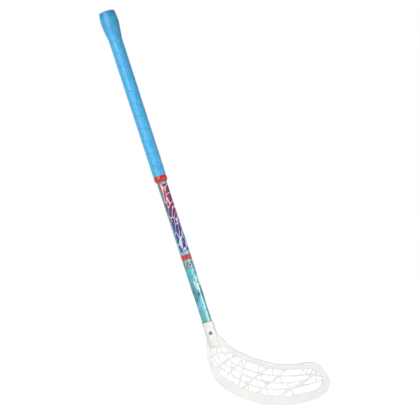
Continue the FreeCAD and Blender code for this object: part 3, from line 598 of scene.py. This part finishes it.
# %% [markdown]
# A low ridge runs up the back of the heel. It is swept like a rib and then joins the rim, the web and the
# socket in one skin. The lattice becomes another, which keeps each piece at a handy number of faces.
# Remeshing needs voxels much finer than the thinnest rib. The result is taken as a plain mesh, so no live
# remesh slows the viewport down.

# %% One skin
ROUNDING_FACTOR = 0.5


def one_skin(piece, voxel, passes):
    """Unite a piece's sweeps by a voxel remesh, round the corners by smoothing, and keep the result."""
    union = piece.modifiers.new("one_skin", "REMESH")
    union.mode = "VOXEL"
    union.voxel_size = voxel
    rounding = piece.modifiers.new("rounding", "SMOOTH")
    rounding.factor = ROUNDING_FACTOR
    rounding.iterations = passes
    bpy.context.view_layer.update()
    skin = bpy.data.meshes.new_from_object(piece.evaluated_get(bpy.context.evaluated_depsgraph_get()))
    piece.modifiers.clear()
    piece.data = skin
    skin.shade_smooth()
    print(f"{piece.name}: {len(skin.polygons)} faces in one skin")


# %% Rim, web, socket and heel
HEEL_RIDGE = ((0.0105, 1.58), (0.0075, 1.4), (0.0115, 1.14), (0.0215, 0.99))
RIDGE_WIDTH = 0.0034
RIDGE_DEPTH = 0.0092
RIDGE_TOP_DEPTH = 0.0140
RIM_VOXEL = 0.0008
RIM_PASSES = 5

heel_ridge = rib_sweep(HEEL_RIDGE, RIDGE_WIDTH, RIDGE_DEPTH, RIDGE_TOP_DEPTH)
blade_moulding = sweep_piece(
    "blade_moulding", (rim_sweep(), "capped"), (corner_web(), "capped"), (socket_sweep(), "ring"),
    (heel_ridge, "capped"))
one_skin(blade_moulding, RIM_VOXEL, RIM_PASSES)
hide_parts("blade")

# %% Lattice
RIB_VOXEL = 0.0007
RIB_PASSES = 3

blade_lattice = sweep_piece("blade_lattice", *[(sweep, "capped") for sweep in rib_sweeps])
one_skin(blade_lattice, RIB_VOXEL, RIB_PASSES)

# %% [markdown]
# ## Finishes
# Materials are node trees. A small helper adds a node and either sets or links each of its inputs, so a
# recipe reads from top to bottom. Colours are written as a screen shows them, 0 to 255, and turned into the
# linear values that Blender works with.

# %% Node helpers


def screen_colour(red, green, blue):
    """Linear colour from screen values: the sRGB curve, a short straight piece and then a power of 2.4."""
    value = np.array((red, green, blue)) / 255
    linear = np.where(value <= 0.04045, value / 12.92, ((value + 0.055) / 1.055) ** 2.4)
    return (*linear.tolist(), 1.0)


def put(tree, kind, inputs=(), **options):
    """Add a node, set its options, then link each input that is given a socket and set each other one."""
    node = tree.nodes.new(kind)
    for name, value in options.items():
        setattr(node, name, value)
    for name, value in dict(inputs).items():
        if isinstance(value, bpy.types.NodeSocket):
            tree.links.new(value, node.inputs[name])
        else:
            node.inputs[name].default_value = value
    return node


def calc(tree, operation, *values):
    """One sum of the Math node on sockets or numbers."""
    return put(tree, "ShaderNodeMath", enumerate(values), operation=operation).outputs[0]


def vector_calc(tree, operation, first, second):
    """One sum of the Vector Math node on two vectors."""
    return put(tree, "ShaderNodeVectorMath", {0: first, 1: second}, operation=operation).outputs


def noise(tree, place, scale, detail):
    """Soft random patches, so many to a metre, as a value round a half."""
    return put(tree, "ShaderNodeTexNoise", {"Vector": place, "Scale": scale, "Detail": detail}).outputs["Fac"]


print("a mid grey on the screen is", [round(value, 3) for value in screen_colour(128, 128, 128)[:3]])

# %% [markdown]
# Colours are mixed through masks: values between 0 and 1 that say how much of a second colour shows at a
# place. These helpers make such masks from a measure, with soft or hard borders, and lay colours over each
# other.

# %% Masks and colours


def stretch(tree, value, start, end):
    """0 before a start, 1 after an end, smooth between."""
    node = put(tree, "ShaderNodeMapRange", {"Value": value, "From Min": start, "From Max": end})
    node.interpolation_type = "SMOOTHSTEP"
    return node.outputs["Result"]


def fading(tree, value, start, end, most):
    """The most before a start, 0 after an end, smooth between."""
    return calc(tree, "MULTIPLY_ADD", stretch(tree, value, start, end), -most, most)


def zone(tree, value, start, end, soft):
    """1 between a start and an end, 0 outside, with soft borders."""
    rise = stretch(tree, value, start - soft, start + soft)
    return calc(tree, "MULTIPLY", rise, fading(tree, value, end - soft, end + soft, 1.0))


def blended(tree, share, first, second):
    """First colour where the share is 0, second where it is 1."""
    mix = put(tree, "ShaderNodeMix", {0: share, 6: first, 7: second}, data_type="RGBA")
    return mix.outputs[2]


def tinted(tree, base, mask, most, colour):
    """The base, with a colour laid over it by the mask times the most."""
    return blended(tree, calc(tree, "MULTIPLY", mask, most), base, colour)


def ramp(tree, share, *stops, interpolation="LINEAR"):
    """A colour ramp through stops of (place, screen colour)."""
    node = put(tree, "ShaderNodeValToRGB", {"Fac": share})
    node.color_ramp.interpolation = interpolation
    elements = node.color_ramp.elements
    while len(elements) < len(stops):
        elements.new(1.0)
    for element, (place, colour) in zip(elements, stops):
        element.position = place
        element.color = screen_colour(*colour)
    return node.outputs["Color"]


print("masks: stretch, fading, zone; colours: blended, tinted, ramp")

# %% [markdown]
# An effect that more than one finish needs is built once, as a node group with named inputs and outputs,
# and placed in each material with its own values. The Principled shader stays in the material itself.

# %% Groups and materials
FLOAT = "NodeSocketFloat"
COLOUR = "NodeSocketColor"
VECTOR = "NodeSocketVector"


def new_group(name, inputs, outputs):
    """A shader node group with input sockets of (name, kind, default) and output sockets of (name, kind)."""
    tree = bpy.data.node_groups.new(name, "ShaderNodeTree")
    for label, kind, value in inputs:
        socket = tree.interface.new_socket(label, in_out="INPUT", socket_type=kind)
        socket.default_value = value
    for label, kind in outputs:
        tree.interface.new_socket(label, in_out="OUTPUT", socket_type=kind)
    return tree, tree.nodes.new("NodeGroupInput").outputs, tree.nodes.new("NodeGroupOutput").inputs


def use_group(tree, group, inputs=()):
    """Place a group in a material with its own values."""
    return put(tree, "ShaderNodeGroup", inputs, node_tree=group).outputs


def new_finish(name):
    """A material with its tree and its Principled shader."""
    finish = bpy.data.materials.new(name)
    finish.use_nodes = True
    return finish, finish.node_tree, finish.node_tree.nodes["Principled BSDF"].inputs


print("sockets of groups:", FLOAT, COLOUR, VECTOR)

# %% [markdown]
# Three effects are needed by more than one finish. Shaft Places turns Object coordinates into the drop
# below the butt end and the angle from the front. Tone Patches makes a colour a little lighter and darker
# in soft patches, as real plastic and rubber are. Moulded Grain gives a fine height for bumps and a
# roughness that varies in wider, rubbed places.

# %% Shaft Places group
shaft_places, _, out = new_group("Shaft Places", (), (("Drop", FLOAT), ("Turn", FLOAT), ("Place", VECTOR)))
here = put(shaft_places, "ShaderNodeTexCoord").outputs["Object"]
offset = vector_calc(shaft_places, "SUBTRACT", here, butt_centre)[0]
rightwards, forwards, drop = (
    vector_calc(shaft_places, "DOT_PRODUCT", offset, direction)["Value"]
    for direction in (to_right, to_front, -up_shaft))
angle = calc(shaft_places, "ARCTAN2", rightwards, forwards)
place = put(shaft_places, "ShaderNodeCombineXYZ", {"X": rightwards, "Y": forwards, "Z": drop}).outputs[0]
shaft_places.links.new(drop, out["Drop"])
shaft_places.links.new(calc(shaft_places, "DIVIDE", angle, math.tau), out["Turn"])
shaft_places.links.new(place, out["Place"])
print("Shaft Places gives drop, turn and place")

# %% Tone Patches group
tone_patches, given, out = new_group(
    "Tone Patches",
    (("Color", COLOUR, (0.5, 0.5, 0.5, 1)), ("Spread", FLOAT, 0.1), ("Patches per Metre", FLOAT, 60.0)),
    (("Color", COLOUR),))
here = put(tone_patches, "ShaderNodeTexCoord").outputs["Object"]
patches = noise(tone_patches, here, given["Patches per Metre"], detail=3.0)
swing = calc(tone_patches, "MULTIPLY", calc(tone_patches, "SUBTRACT", patches, 0.5), given["Spread"])
value = calc(tone_patches, "MULTIPLY_ADD", swing, 2.0, 1.0)
toned = put(tone_patches, "ShaderNodeHueSaturation", {"Color": given["Color"], "Value": value})
tone_patches.links.new(toned.outputs["Color"], out["Color"])


def toned_colour(tree, colour, spread, patches):
    """A colour in soft lighter and darker patches, so many to a metre."""
    values = {"Color": colour, "Spread": spread, "Patches per Metre": patches}
    return use_group(tree, tone_patches, values)["Color"]


print("Tone Patches varies a colour")

# %% Moulded Grain group
RUBBED_PATCHES = 90.0
RUBBED_LIMITS = (0.3, 0.7)

moulded_grain, given, out = new_group(
    "Moulded Grain",
    (("Grains per Metre", FLOAT, 2000.0), ("Smooth Roughness", FLOAT, 0.3), ("Rough Roughness", FLOAT, 0.5)),
    (("Height", FLOAT), ("Roughness", FLOAT)))
here = put(moulded_grain, "ShaderNodeTexCoord").outputs["Object"]
fine = noise(moulded_grain, here, given["Grains per Metre"], detail=2.0)
wide = noise(moulded_grain, here, RUBBED_PATCHES, detail=4.0)
rubbed = stretch(moulded_grain, wide, *RUBBED_LIMITS)
spread = calc(moulded_grain, "SUBTRACT", given["Rough Roughness"], given["Smooth Roughness"])
rough = calc(moulded_grain, "MULTIPLY_ADD", rubbed, spread, given["Smooth Roughness"])
moulded_grain.links.new(fine, out["Height"])
moulded_grain.links.new(rough, out["Roughness"])


def add_grain(tree, shader, grains, smoothest, roughest, strength=0.0, depth=0.0003):
    """Vary the shader's roughness by the grain and, where the bump has a strength, its normal."""
    values = {"Grains per Metre": grains, "Smooth Roughness": smoothest, "Rough Roughness": roughest}
    grain = use_group(tree, moulded_grain, values)
    tree.links.new(grain["Roughness"], shader["Roughness"])
    if strength:
        values = {"Height": grain["Height"], "Strength": strength, "Distance": depth}
        bump = put(tree, "ShaderNodeBump", values)
        tree.links.new(bump.outputs["Normal"], shader["Normal"])


print("Moulded Grain gives height and roughness")

# %% [markdown]
# ## Grip finish
# The ribbon is soft satin rubber. Its colour is a little deeper in the fold just above each lap: painted
# shade where the lap keeps the light off, with some dirt from hands. It is a little paler on the lip, partly
# where hands rub and partly as a painted highlight along the edge. On the knob it is a little deeper and
# greener, and the rim of the butt end, which stands on floors, is deeper. Where a lap lies follows from the
# drop and the angle, so no UV map is needed.

# %% Grip finish
FOLD = (0.91, 0.99)
LIP = (0.0, 0.07)
KNOB_END = (0.03, 0.08)
BUTT_RIM = (0.003, 0.016)
BLUE_DRIFT = (0.36, 0.64)
WARM_BLUE = screen_colour(77, 172, 229)
COOL_BLUE = screen_colour(66, 176, 222)
FOLD_SHADE_BLUE = screen_colour(36, 110, 176)
LIP_HIGHLIGHT_BLUE = screen_colour(140, 208, 246)
KNOB_BLUE = screen_colour(33, 148, 178)
BUTT_BLUE = screen_colour(36, 108, 174)

grip_finish, tree, shader = new_finish("grip_band_finish")
places = use_group(tree, shaft_places)
along = calc(tree, "DIVIDE", calc(tree, "SUBTRACT", places["Drop"], FIRST_SEAM_DROP), SEAM_PITCH)
phase = calc(tree, "FRACT", calc(tree, "SUBTRACT", along, places["Turn"]))
drift = stretch(tree, noise(tree, places["Place"], scale=42.0, detail=1.0), *BLUE_DRIFT)
blue = toned_colour(tree, blended(tree, drift, WARM_BLUE, COOL_BLUE), spread=0.18, patches=84.0)
# Painted shade, with some dirt: the fold just above each lap is darkened.
fold_shaded = tinted(tree, blue, stretch(tree, phase, *FOLD), most=0.44, colour=FOLD_SHADE_BLUE)
# Partly rubbing, partly a painted highlight: the upper lip of each turn is paler.
rubbed = blended(tree, fading(tree, phase, *LIP, most=0.18), fold_shaded, LIP_HIGHLIGHT_BLUE)
# The knob is made deeper and greener.
on_knob = blended(tree, fading(tree, places["Drop"], *KNOB_END, most=0.3), rubbed, KNOB_BLUE)
handled = blended(tree, fading(tree, places["Drop"], *BUTT_RIM, most=0.45), on_knob, BUTT_BLUE)
tree.links.new(handled, shader["Base Color"])
add_grain(tree, shader, grains=2600.0, smoothest=0.34, roughest=0.46, strength=0.12)
shader["Specular IOR Level"].default_value = 0.45
grip_ribbon.data.materials.append(grip_finish)
print("grip finish on", grip_ribbon.name)

# %% [markdown]
# ## Ring finish
# Glossy red rubber with a clear coat that shows the studio lights. Towards its thin lip, which tucks in
# under the bulge, the red is darkened as painted shade.

# %% Ring finish
RING_LIP_HEIGHT = 0.0035
RING_RED = screen_colour(202, 28, 30)
RING_LIP_SHADE_RED = screen_colour(132, 18, 26)

ring_finish, tree, shader = new_finish("ring_rubber_finish")
places = use_group(tree, shaft_places)
red = toned_colour(tree, RING_RED, spread=0.08, patches=120.0)
# Painted shade: the red darkens over the last few millimetres down to the lip.
lip_shade = stretch(tree, places["Drop"], ring_foot - RING_LIP_HEIGHT, ring_foot)
tree.links.new(tinted(tree, red, lip_shade, most=0.6, colour=RING_LIP_SHADE_RED), shader["Base Color"])
add_grain(tree, shader, grains=1500.0, smoothest=0.2, roughest=0.3, strength=0.05)
shader["Specular IOR Level"].default_value = 0.3
shader["Coat Weight"].default_value = 0.35
shader["Coat Roughness"].default_value = 0.12
finishing_ring.data.materials.append(ring_finish)
print("ring finish on", finishing_ring.name)

# %% [markdown]
# ## Printed finish
# The sleeve carries a print of this lesson's own: two panels of slanting splinters in purple, navy and dark
# red with pale outlines, a plain red band, a ring of slanted dashes and a thin line. They lie on a cool
# teal field with a few splinters low down. Down the front, a little right of the middle, the field also
# carries a pale icy streak that is a painted highlight, and a copy of it runs down the back.
# Voronoi cells make the splinters. They are cut out of space and not out of a flat sheet, so the print
# meets itself at the back of the shaft.

# %% Splinters group
CELL_RANDOMNESS = 0.9
SIDE_LEAN = 0.4

splinters, given, out = new_group(
    "Splinters",
    (("Place", VECTOR, (0, 0, 0)), ("Cells per Metre", FLOAT, 70.0), ("Slant", FLOAT, 0.5),
     ("Length", FLOAT, 1.6)),
    (("Edge", FLOAT), ("Pick", FLOAT), ("Shade", FLOAT)))
split = put(splinters, "ShaderNodeSeparateXYZ", {0: given["Place"]}).outputs
sideways = calc(splinters, "MULTIPLY_ADD", split["Y"], SIDE_LEAN, split["X"])
slanted = calc(splinters, "MULTIPLY_ADD", sideways, given["Slant"], split["Z"])
slid = calc(splinters, "DIVIDE", slanted, given["Length"])
leaning = put(splinters, "ShaderNodeCombineXYZ", {"X": split["X"], "Y": split["Y"], "Z": slid}).outputs[0]
scale = {"Vector": leaning, "Scale": given["Cells per Metre"], "Randomness": CELL_RANDOMNESS}
edges = put(splinters, "ShaderNodeTexVoronoi", scale, feature="DISTANCE_TO_EDGE").outputs["Distance"]
cells = put(splinters, "ShaderNodeTexVoronoi", scale, feature="F1").outputs
pick = put(splinters, "ShaderNodeSeparateColor", {0: cells["Color"]}).outputs["Red"]
splinters.links.new(edges, out["Edge"])
splinters.links.new(pick, out["Pick"])
splinters.links.new(cells["Distance"], out["Shade"])
print("Splinters gives edge, pick and shade")

# %% [markdown]
# The print is laid on in order, as a printer lays inks: the field with its painted highlight, the splinter
# panels with their two outlines, the red band, the dashes, the thin line, and the splinters of the lower
# half. Lengths are metres below the ring, shares go from the ring to the socket. How far a place lies aside
# from the middle of the nearer panel is counted in turns, and both panels are turned a little from the
# front and the back. The field comes first.

# %% Field of the print
# The panels, and the painted highlight down their middles, are turned by this share of a turn from the front.
PANEL_TURN = 0.056
HIGHLIGHT_HALF = 0.09
STREAK_STRETCH = (1.0, 1.0, 0.12)
ICE_HIGHLIGHT = screen_colour(156, 218, 234)

print_finish, tree, shader = new_finish("printed_film_finish")
places = use_group(tree, shaft_places)
down = calc(tree, "SUBTRACT", places["Drop"], ring_foot)
share = calc(tree, "DIVIDE", down, film_foot - ring_foot)
halves = calc(tree, "FRACT", calc(tree, "MULTIPLY_ADD", places["Turn"], 2.0, 0.5 - 2.0 * PANEL_TURN))
aside = calc(tree, "MULTIPLY", calc(tree, "ABSOLUTE", calc(tree, "SUBTRACT", halves, 0.5)), 0.5)
field = ramp(
    tree, share, (0.0, (87, 141, 131)), (0.07, (84, 154, 150)), (0.3, (110, 177, 186)),
    (0.5, (104, 186, 184)), (0.62, (78, 175, 182)), (0.72, (74, 162, 175)), (0.8, (63, 135, 154)),
    (0.88, (106, 187, 201)), (0.92, (89, 171, 176)), (1.0, (98, 170, 172)))
long_places = vector_calc(tree, "MULTIPLY", places["Place"], STREAK_STRETCH)[0]
streaks = noise(tree, long_places, scale=190.0, detail=2.0)
# Painted highlight: a pale icy streak down the middle of each panel, right of the front and again at the
# back.
highlight_share = fading(tree, aside, 0.0, HIGHLIGHT_HALF, most=0.68)
highlight_streaks = calc(tree, "MULTIPLY", calc(tree, "ADD", streaks, 0.5), highlight_share)
highlighted_field = toned_colour(tree, blended(tree, highlight_streaks, field, ICE_HIGHLIGHT), spread=0.14, patches=70.0)
print("teal field with icy streaks")

# %% [markdown]
# A panel's splinters take one of five inks by their random pick, darken towards their borders, redden near
# the ring and turn pale more often further down. Two outlines follow each border, a coloured one and a
# narrower pale one in it. The panel's own border is ragged, because each cell is moved aside by its pick.

# %% Splinter panels
MOSAIC = (0.005, 0.146)
PANEL_HALF = 0.192
PANEL_RAGGED = 0.05
HARD = 0.0003
SPLINTER_SHIFT = (0.53, 0.0, 0.53)
GLOW_EDGE = 0.056
LINE_EDGE = 0.026
DARKENED = (0.1, 0.7)
REDDENED = (0.02, 0.22)
PALED = (0.16, 0.48)
PALED_SHARE = 0.34
DARK_INK = screen_colour(34, 30, 88)
DEEP_RED_INK = screen_colour(150, 34, 58)
PALE_INK = screen_colour(148, 196, 226)
PALEST_INK = screen_colour(206, 226, 244)

shifted = vector_calc(tree, "ADD", places["Place"], SPLINTER_SHIFT)[0]
top = use_group(tree, splinters, {"Place": shifted, "Cells per Metre": 100.0, "Slant": 1.2, "Length": 2.2})
inks = ramp(
    tree, top["Pick"], (0.0, (58, 44, 116)), (0.22, (104, 62, 146)), (0.4, (42, 48, 126)),
    (0.58, (140, 34, 62)), (0.68, (76, 54, 134)), interpolation="CONSTANT")
shaded = blended(tree, stretch(tree, top["Shade"], *DARKENED), inks, DARK_INK)
reddened = blended(tree, fading(tree, share, *REDDENED, most=0.5), shaded, DEEP_RED_INK)
pale_limit = calc(tree, "MULTIPLY_ADD", stretch(tree, share, *PALED), -PALED_SHARE, 1.0)
pale = calc(tree, "GREATER_THAN", top["Pick"], pale_limit)
filled = blended(tree, pale, reddened, blended(tree, streaks, PALE_INK, PALEST_INK))
glow = ramp(
    tree, share, (0.0, (214, 66, 78)), (0.2, (216, 92, 112)), (0.3, (168, 128, 196)), (0.42, (150, 178, 220)))
lines = ramp(tree, share, (0.0, (240, 214, 212)), (0.2, (240, 196, 204)), (0.34, (214, 208, 236)))
outlined = blended(tree, calc(tree, "LESS_THAN", top["Edge"], GLOW_EDGE), filled, glow)
mosaic = blended(tree, calc(tree, "LESS_THAN", top["Edge"], LINE_EDGE), outlined, lines)
ragged = calc(tree, "MULTIPLY_ADD", top["Pick"], PANEL_RAGGED, aside)
inside = calc(tree, "LESS_THAN", ragged, PANEL_HALF)
panel = calc(tree, "MULTIPLY", zone(tree, down, *MOSAIC, HARD), inside)
printed = blended(tree, panel, highlighted_field, mosaic)
print(f"splinter panels from {MOSAIC[0]} to {MOSAIC[1]} m below the ring")

# %% Band, dashes and line
RED_BAND = (0.152, 0.163)
DASHES = (0.1685, 0.1770)
DASH_COUNT = 9.0
DASH_SLANT = 90.0
DARK_LINE = (0.1795, 0.1808)
RED_INK = screen_colour(196, 38, 34)
LINE_INK = screen_colour(52, 108, 116)

banded = blended(tree, zone(tree, down, *RED_BAND, HARD), printed, RED_INK)
slant = calc(tree, "MULTIPLY", down, DASH_SLANT)
wave = calc(tree, "FRACT", calc(tree, "MULTIPLY_ADD", places["Turn"], DASH_COUNT, slant))
dash_inks = ramp(
    tree, wave, (0.0, (72, 26, 34)), (0.46, (222, 226, 224)), (0.62, (128, 46, 48)), (0.86, (206, 214, 212)),
    interpolation="CONSTANT")
dashed = blended(tree, zone(tree, down, *DASHES, HARD), banded, dash_inks)
lined = blended(tree, zone(tree, down, *DARK_LINE, HARD), dashed, LINE_INK)
print("red band, dashes and line from", RED_BAND[0], "to", DARK_LINE[1], "m below the ring")

# %% [markdown]
# Low on the sleeve lie a few pale splinters and, over them, a patch of smaller, deep ones. Their limits
# move up by each cell's own random pick, so that they end raggedly.

# %% Lower splinters
ICY_PLACE = (0.240, 0.264)
ICY_RAGGED = 0.05
ICY_PICK = 0.62
DEEP_PLACE = (0.240, 0.261)
DEEP_RAGGED = 0.04
DEEP_PICK = 0.46
ICY_INK = screen_colour(224, 236, 246)
DEEP_INK = screen_colour(22, 84, 108)

low = use_group(
    tree, splinters, {"Place": places["Place"], "Cells per Metre": 104.0, "Slant": -1.3, "Length": 1.5})
icy_down = calc(tree, "MULTIPLY_ADD", low["Pick"], ICY_RAGGED, down)
icy_picked = calc(tree, "GREATER_THAN", low["Pick"], ICY_PICK)
icy = calc(tree, "MULTIPLY", zone(tree, icy_down, *ICY_PLACE, HARD), icy_picked)
iced = tinted(tree, lined, icy, most=0.64, colour=ICY_INK)
small = use_group(tree, splinters, {"Place": shifted, "Cells per Metre": 210.0, "Slant": -1.0, "Length": 2.4})
deep_down = calc(tree, "MULTIPLY_ADD", small["Pick"], DEEP_RAGGED, down)
deep_picked = calc(tree, "LESS_THAN", small["Pick"], DEEP_PICK)
deep = calc(tree, "MULTIPLY", zone(tree, deep_down, *DEEP_PLACE, HARD), deep_picked)
inked = tinted(tree, iced, deep, most=0.7, colour=DEEP_INK)
print("pale and deep splinters low on the sleeve")

# %% [markdown]
# Over the inks lies the clear film. Its gloss is a coat on a weakly shining print, so the highlights stay
# white and the inks keep their colour.

# %% Gloss of the print
tree.links.new(inked, shader["Base Color"])
add_grain(tree, shader, grains=700.0, smoothest=0.2, roughest=0.3, strength=0.03, depth=0.0004)
shader["Specular IOR Level"].default_value = 0.1
shader["Coat Weight"].default_value = 0.9
shader["Coat Roughness"].default_value = 0.15
printed_sleeve.data.materials.append(print_finish)
print("printed finish on", printed_sleeve.name)

# %% [markdown]
# ## Blade, screws and inner pieces
# The blade is one moulding of white polyethylene: slightly waxy, satin, with light scuffs in its gloss.
# Light goes a little way into such plastic and comes out beside the place where it went in, which
# Subsurface makes. Light reaches deeper through the thin ribs, so each skin takes this finish with its own
# values, and the ribs' white is a little darker as painted shade among the ribs.

# %% Blade finish


def white_plastic(name, colour, scatter):
    """Waxy white plastic: one tone in faint patches, satin with rubbed places, and light scattered in it."""
    finish, tree, shader = new_finish(name)
    tree.links.new(toned_colour(tree, colour, spread=0.03, patches=40.0), shader["Base Color"])
    add_grain(tree, shader, grains=1800.0, smoothest=0.34, roughest=0.5, strength=0.06)
    shader["Subsurface Weight"].default_value = 0.6
    shader["Subsurface Radius"].default_value = (1.0, 1.0, 1.0)
    shader["Subsurface Scale"].default_value = scatter
    return finish


rim_finish = white_plastic("blade_plastic_finish", screen_colour(238, 239, 236), scatter=0.0012)
blade_moulding.data.materials.append(rim_finish)
# Painted shade: the ribs take a slightly darker white than the rim.
shaded_rib_finish = white_plastic("blade_lattice_shaded_finish", screen_colour(234, 235, 232), scatter=0.003)
blade_lattice.data.materials.append(shaded_rib_finish)
print("white plastic on", blade_moulding.name, "and", blade_lattice.name)

# %% [markdown]
# The screws are blackened steel, and the pieces inside the grip are dark plastic. They keep the CAD model's
# shape, which is enough for the few edges that show, and only take a finish.

# %% Screw and inner finishes
SCREW_BLACK = screen_colour(44, 45, 43)
PLUG_BLACK = screen_colour(44, 45, 48)

screw_finish, tree, shader = new_finish("screw_steel_finish")
tree.links.new(toned_colour(tree, SCREW_BLACK, spread=0.2, patches=600.0), shader["Base Color"])
add_grain(tree, shader, grains=3000.0, smoothest=0.3, roughest=0.5)
shader["Metallic"].default_value = 0.1
shader["Specular IOR Level"].default_value = 0.2
frame["nodes"]["blade_screws"].material_slots[0].material = screw_finish

inner_finish, tree, shader = new_finish("plug_plastic_finish")
tree.links.new(toned_colour(tree, PLUG_BLACK, spread=0.15, patches=300.0), shader["Base Color"])
add_grain(tree, shader, grains=2400.0, smoothest=0.4, roughest=0.6, strength=0.15, depth=0.0002)
for node in ("end_plug", "knob_collar", "shaft_tube"):
    frame["nodes"][node].material_slots[0].material = inner_finish
print("dark finishes on screws and inner pieces")

# %% [markdown]
# ## Studio
# The stick stands on a white floor before a white background. The floor keeps the stick's soft shadow. Rays
# from the camera, also by way of a reflection, see added white in the floor and the world, while the rays
# that light the stick see a plain level. More light would whiten the floor as well, but it would bleach the
# stick.

# %% Floor
FLOOR_HALF = 60.0
FLOOR_WHITE = 0.9
FLOOR_SEEN = 1.02
WORLD_FILL = 0.12


def floor_points():
    """A flat square on the floor's height, as a grid of two by two points."""
    side = np.array((-FLOOR_HALF, FLOOR_HALF))
    x, y = np.meshgrid(side, side)
    return np.dstack((x, y, np.zeros_like(x)))


def seen_by_camera(tree):
    """1 for rays from the camera, also by way of a reflection or glass, 0 for rays that carry light."""
    rays = put(tree, "ShaderNodeLightPath").outputs
    indirect = calc(tree, "MAXIMUM", rays["Is Glossy Ray"], rays["Is Transmission Ray"])
    return calc(tree, "MAXIMUM", rays["Is Camera Ray"], indirect)


floor_mesh = bpy.data.meshes.new("studio_floor")
floor_mesh.from_pydata(floor_points().reshape(-1, 3).tolist(), [], [(0, 1, 3, 2)])
studio_floor = bpy.data.objects.new("studio_floor", floor_mesh)
bpy.context.scene.collection.objects.link(studio_floor)
floor_finish, tree, shader = new_finish("floor_finish")
shader["Base Color"].default_value = (FLOOR_WHITE, FLOOR_WHITE, FLOOR_WHITE, 1)
shader["Roughness"].default_value = 0.9
shader["Specular IOR Level"].default_value = 0.0
added = calc(tree, "MULTIPLY", seen_by_camera(tree), FLOOR_SEEN - FLOOR_WHITE * WORLD_FILL)
white_glow = put(tree, "ShaderNodeEmission", {"Strength": added}).outputs[0]
both = put(tree, "ShaderNodeAddShader", {0: tree.nodes["Principled BSDF"].outputs[0], 1: white_glow})
tree.links.new(both.outputs[0], tree.nodes["Material Output"].inputs["Surface"])
floor_mesh.materials.append(floor_finish)
print("white floor,", 2 * FLOOR_HALF, "m wide")

# %% World
world = bpy.data.worlds.new("studio_world")
bpy.context.scene.world = world
world.use_nodes = True
tree = world.node_tree
strength = calc(tree, "MULTIPLY_ADD", seen_by_camera(tree), 1.0 - WORLD_FILL, WORLD_FILL)
tree.nodes["Background"].inputs["Color"].default_value = (1, 1, 1, 1)
tree.links.new(strength, tree.nodes["Background"].inputs["Strength"])
print("white world that lights at", WORLD_FILL)

# %% [markdown]
# A broad lamp at the left shapes the satin grip. A low lamp at the right has a narrow beam and is turned to
# the blade: it lights the socket, draws the highlight on the print and fades up the grip. A lamp behind
# keeps the back readable, and the world fills the rest evenly. A camera with a long lens stands level
# before the middle.

# %% Lamps
MIDDLE = np.array((-0.13, 0.0, 0.40))
BLADE_AIM = np.array((-0.08, 0.0, 0.17))


def add_lamp(name, azimuth, elevation, distance, width, height, watts, aim=MIDDLE, spread=180):
    """An area lamp on a sphere round an aim, turned to it.

    Azimuth 0 is at the camera, and the spread is the angle of the beam, all in degrees.
    """
    turn = math.radians(azimuth)
    rise = math.radians(elevation)
    direction = np.array((math.sin(turn) * math.cos(rise), -math.cos(turn) * math.cos(rise), math.sin(rise)))
    data = bpy.data.lights.new(name, "AREA")
    data.shape = "RECTANGLE"
    data.size = width
    data.size_y = height
    data.energy = watts
    data.spread = math.radians(spread)
    lamp = bpy.data.objects.new(name, data)
    lamp.location = aim + distance * direction
    lamp.rotation_euler = (math.pi / 2 - rise, 0.0, turn)
    bpy.context.scene.collection.objects.link(lamp)
    print(f"{name}: {watts} W from {azimuth} degrees")


add_lamp("broad_lamp", azimuth=-32, elevation=12, distance=2.4, width=1.4, height=1.5, watts=41)
add_lamp("side_lamp", azimuth=56, elevation=4, distance=2.0, width=0.6, height=0.8, watts=1.7,
         aim=BLADE_AIM, spread=44)
add_lamp("back_lamp", azimuth=178, elevation=16, distance=2.4, width=1.8, height=1.0, watts=22)

# %% Camera
CAMERA_PLACE = (-0.140, -1.990, 0.388)
CAMERA_LENS = 85.7

camera_data = bpy.data.cameras.new("photo_camera")
camera_data.lens = CAMERA_LENS
camera_data.sensor_width = 36.0
camera = bpy.data.objects.new("photo_camera", camera_data)
camera.location = CAMERA_PLACE
camera.rotation_euler = (math.pi / 2, 0.0, 0.0)
bpy.context.scene.collection.objects.link(camera)
bpy.context.scene.camera = camera
bpy.context.scene.view_settings.view_transform = "Standard"
print("camera at", CAMERA_PLACE)
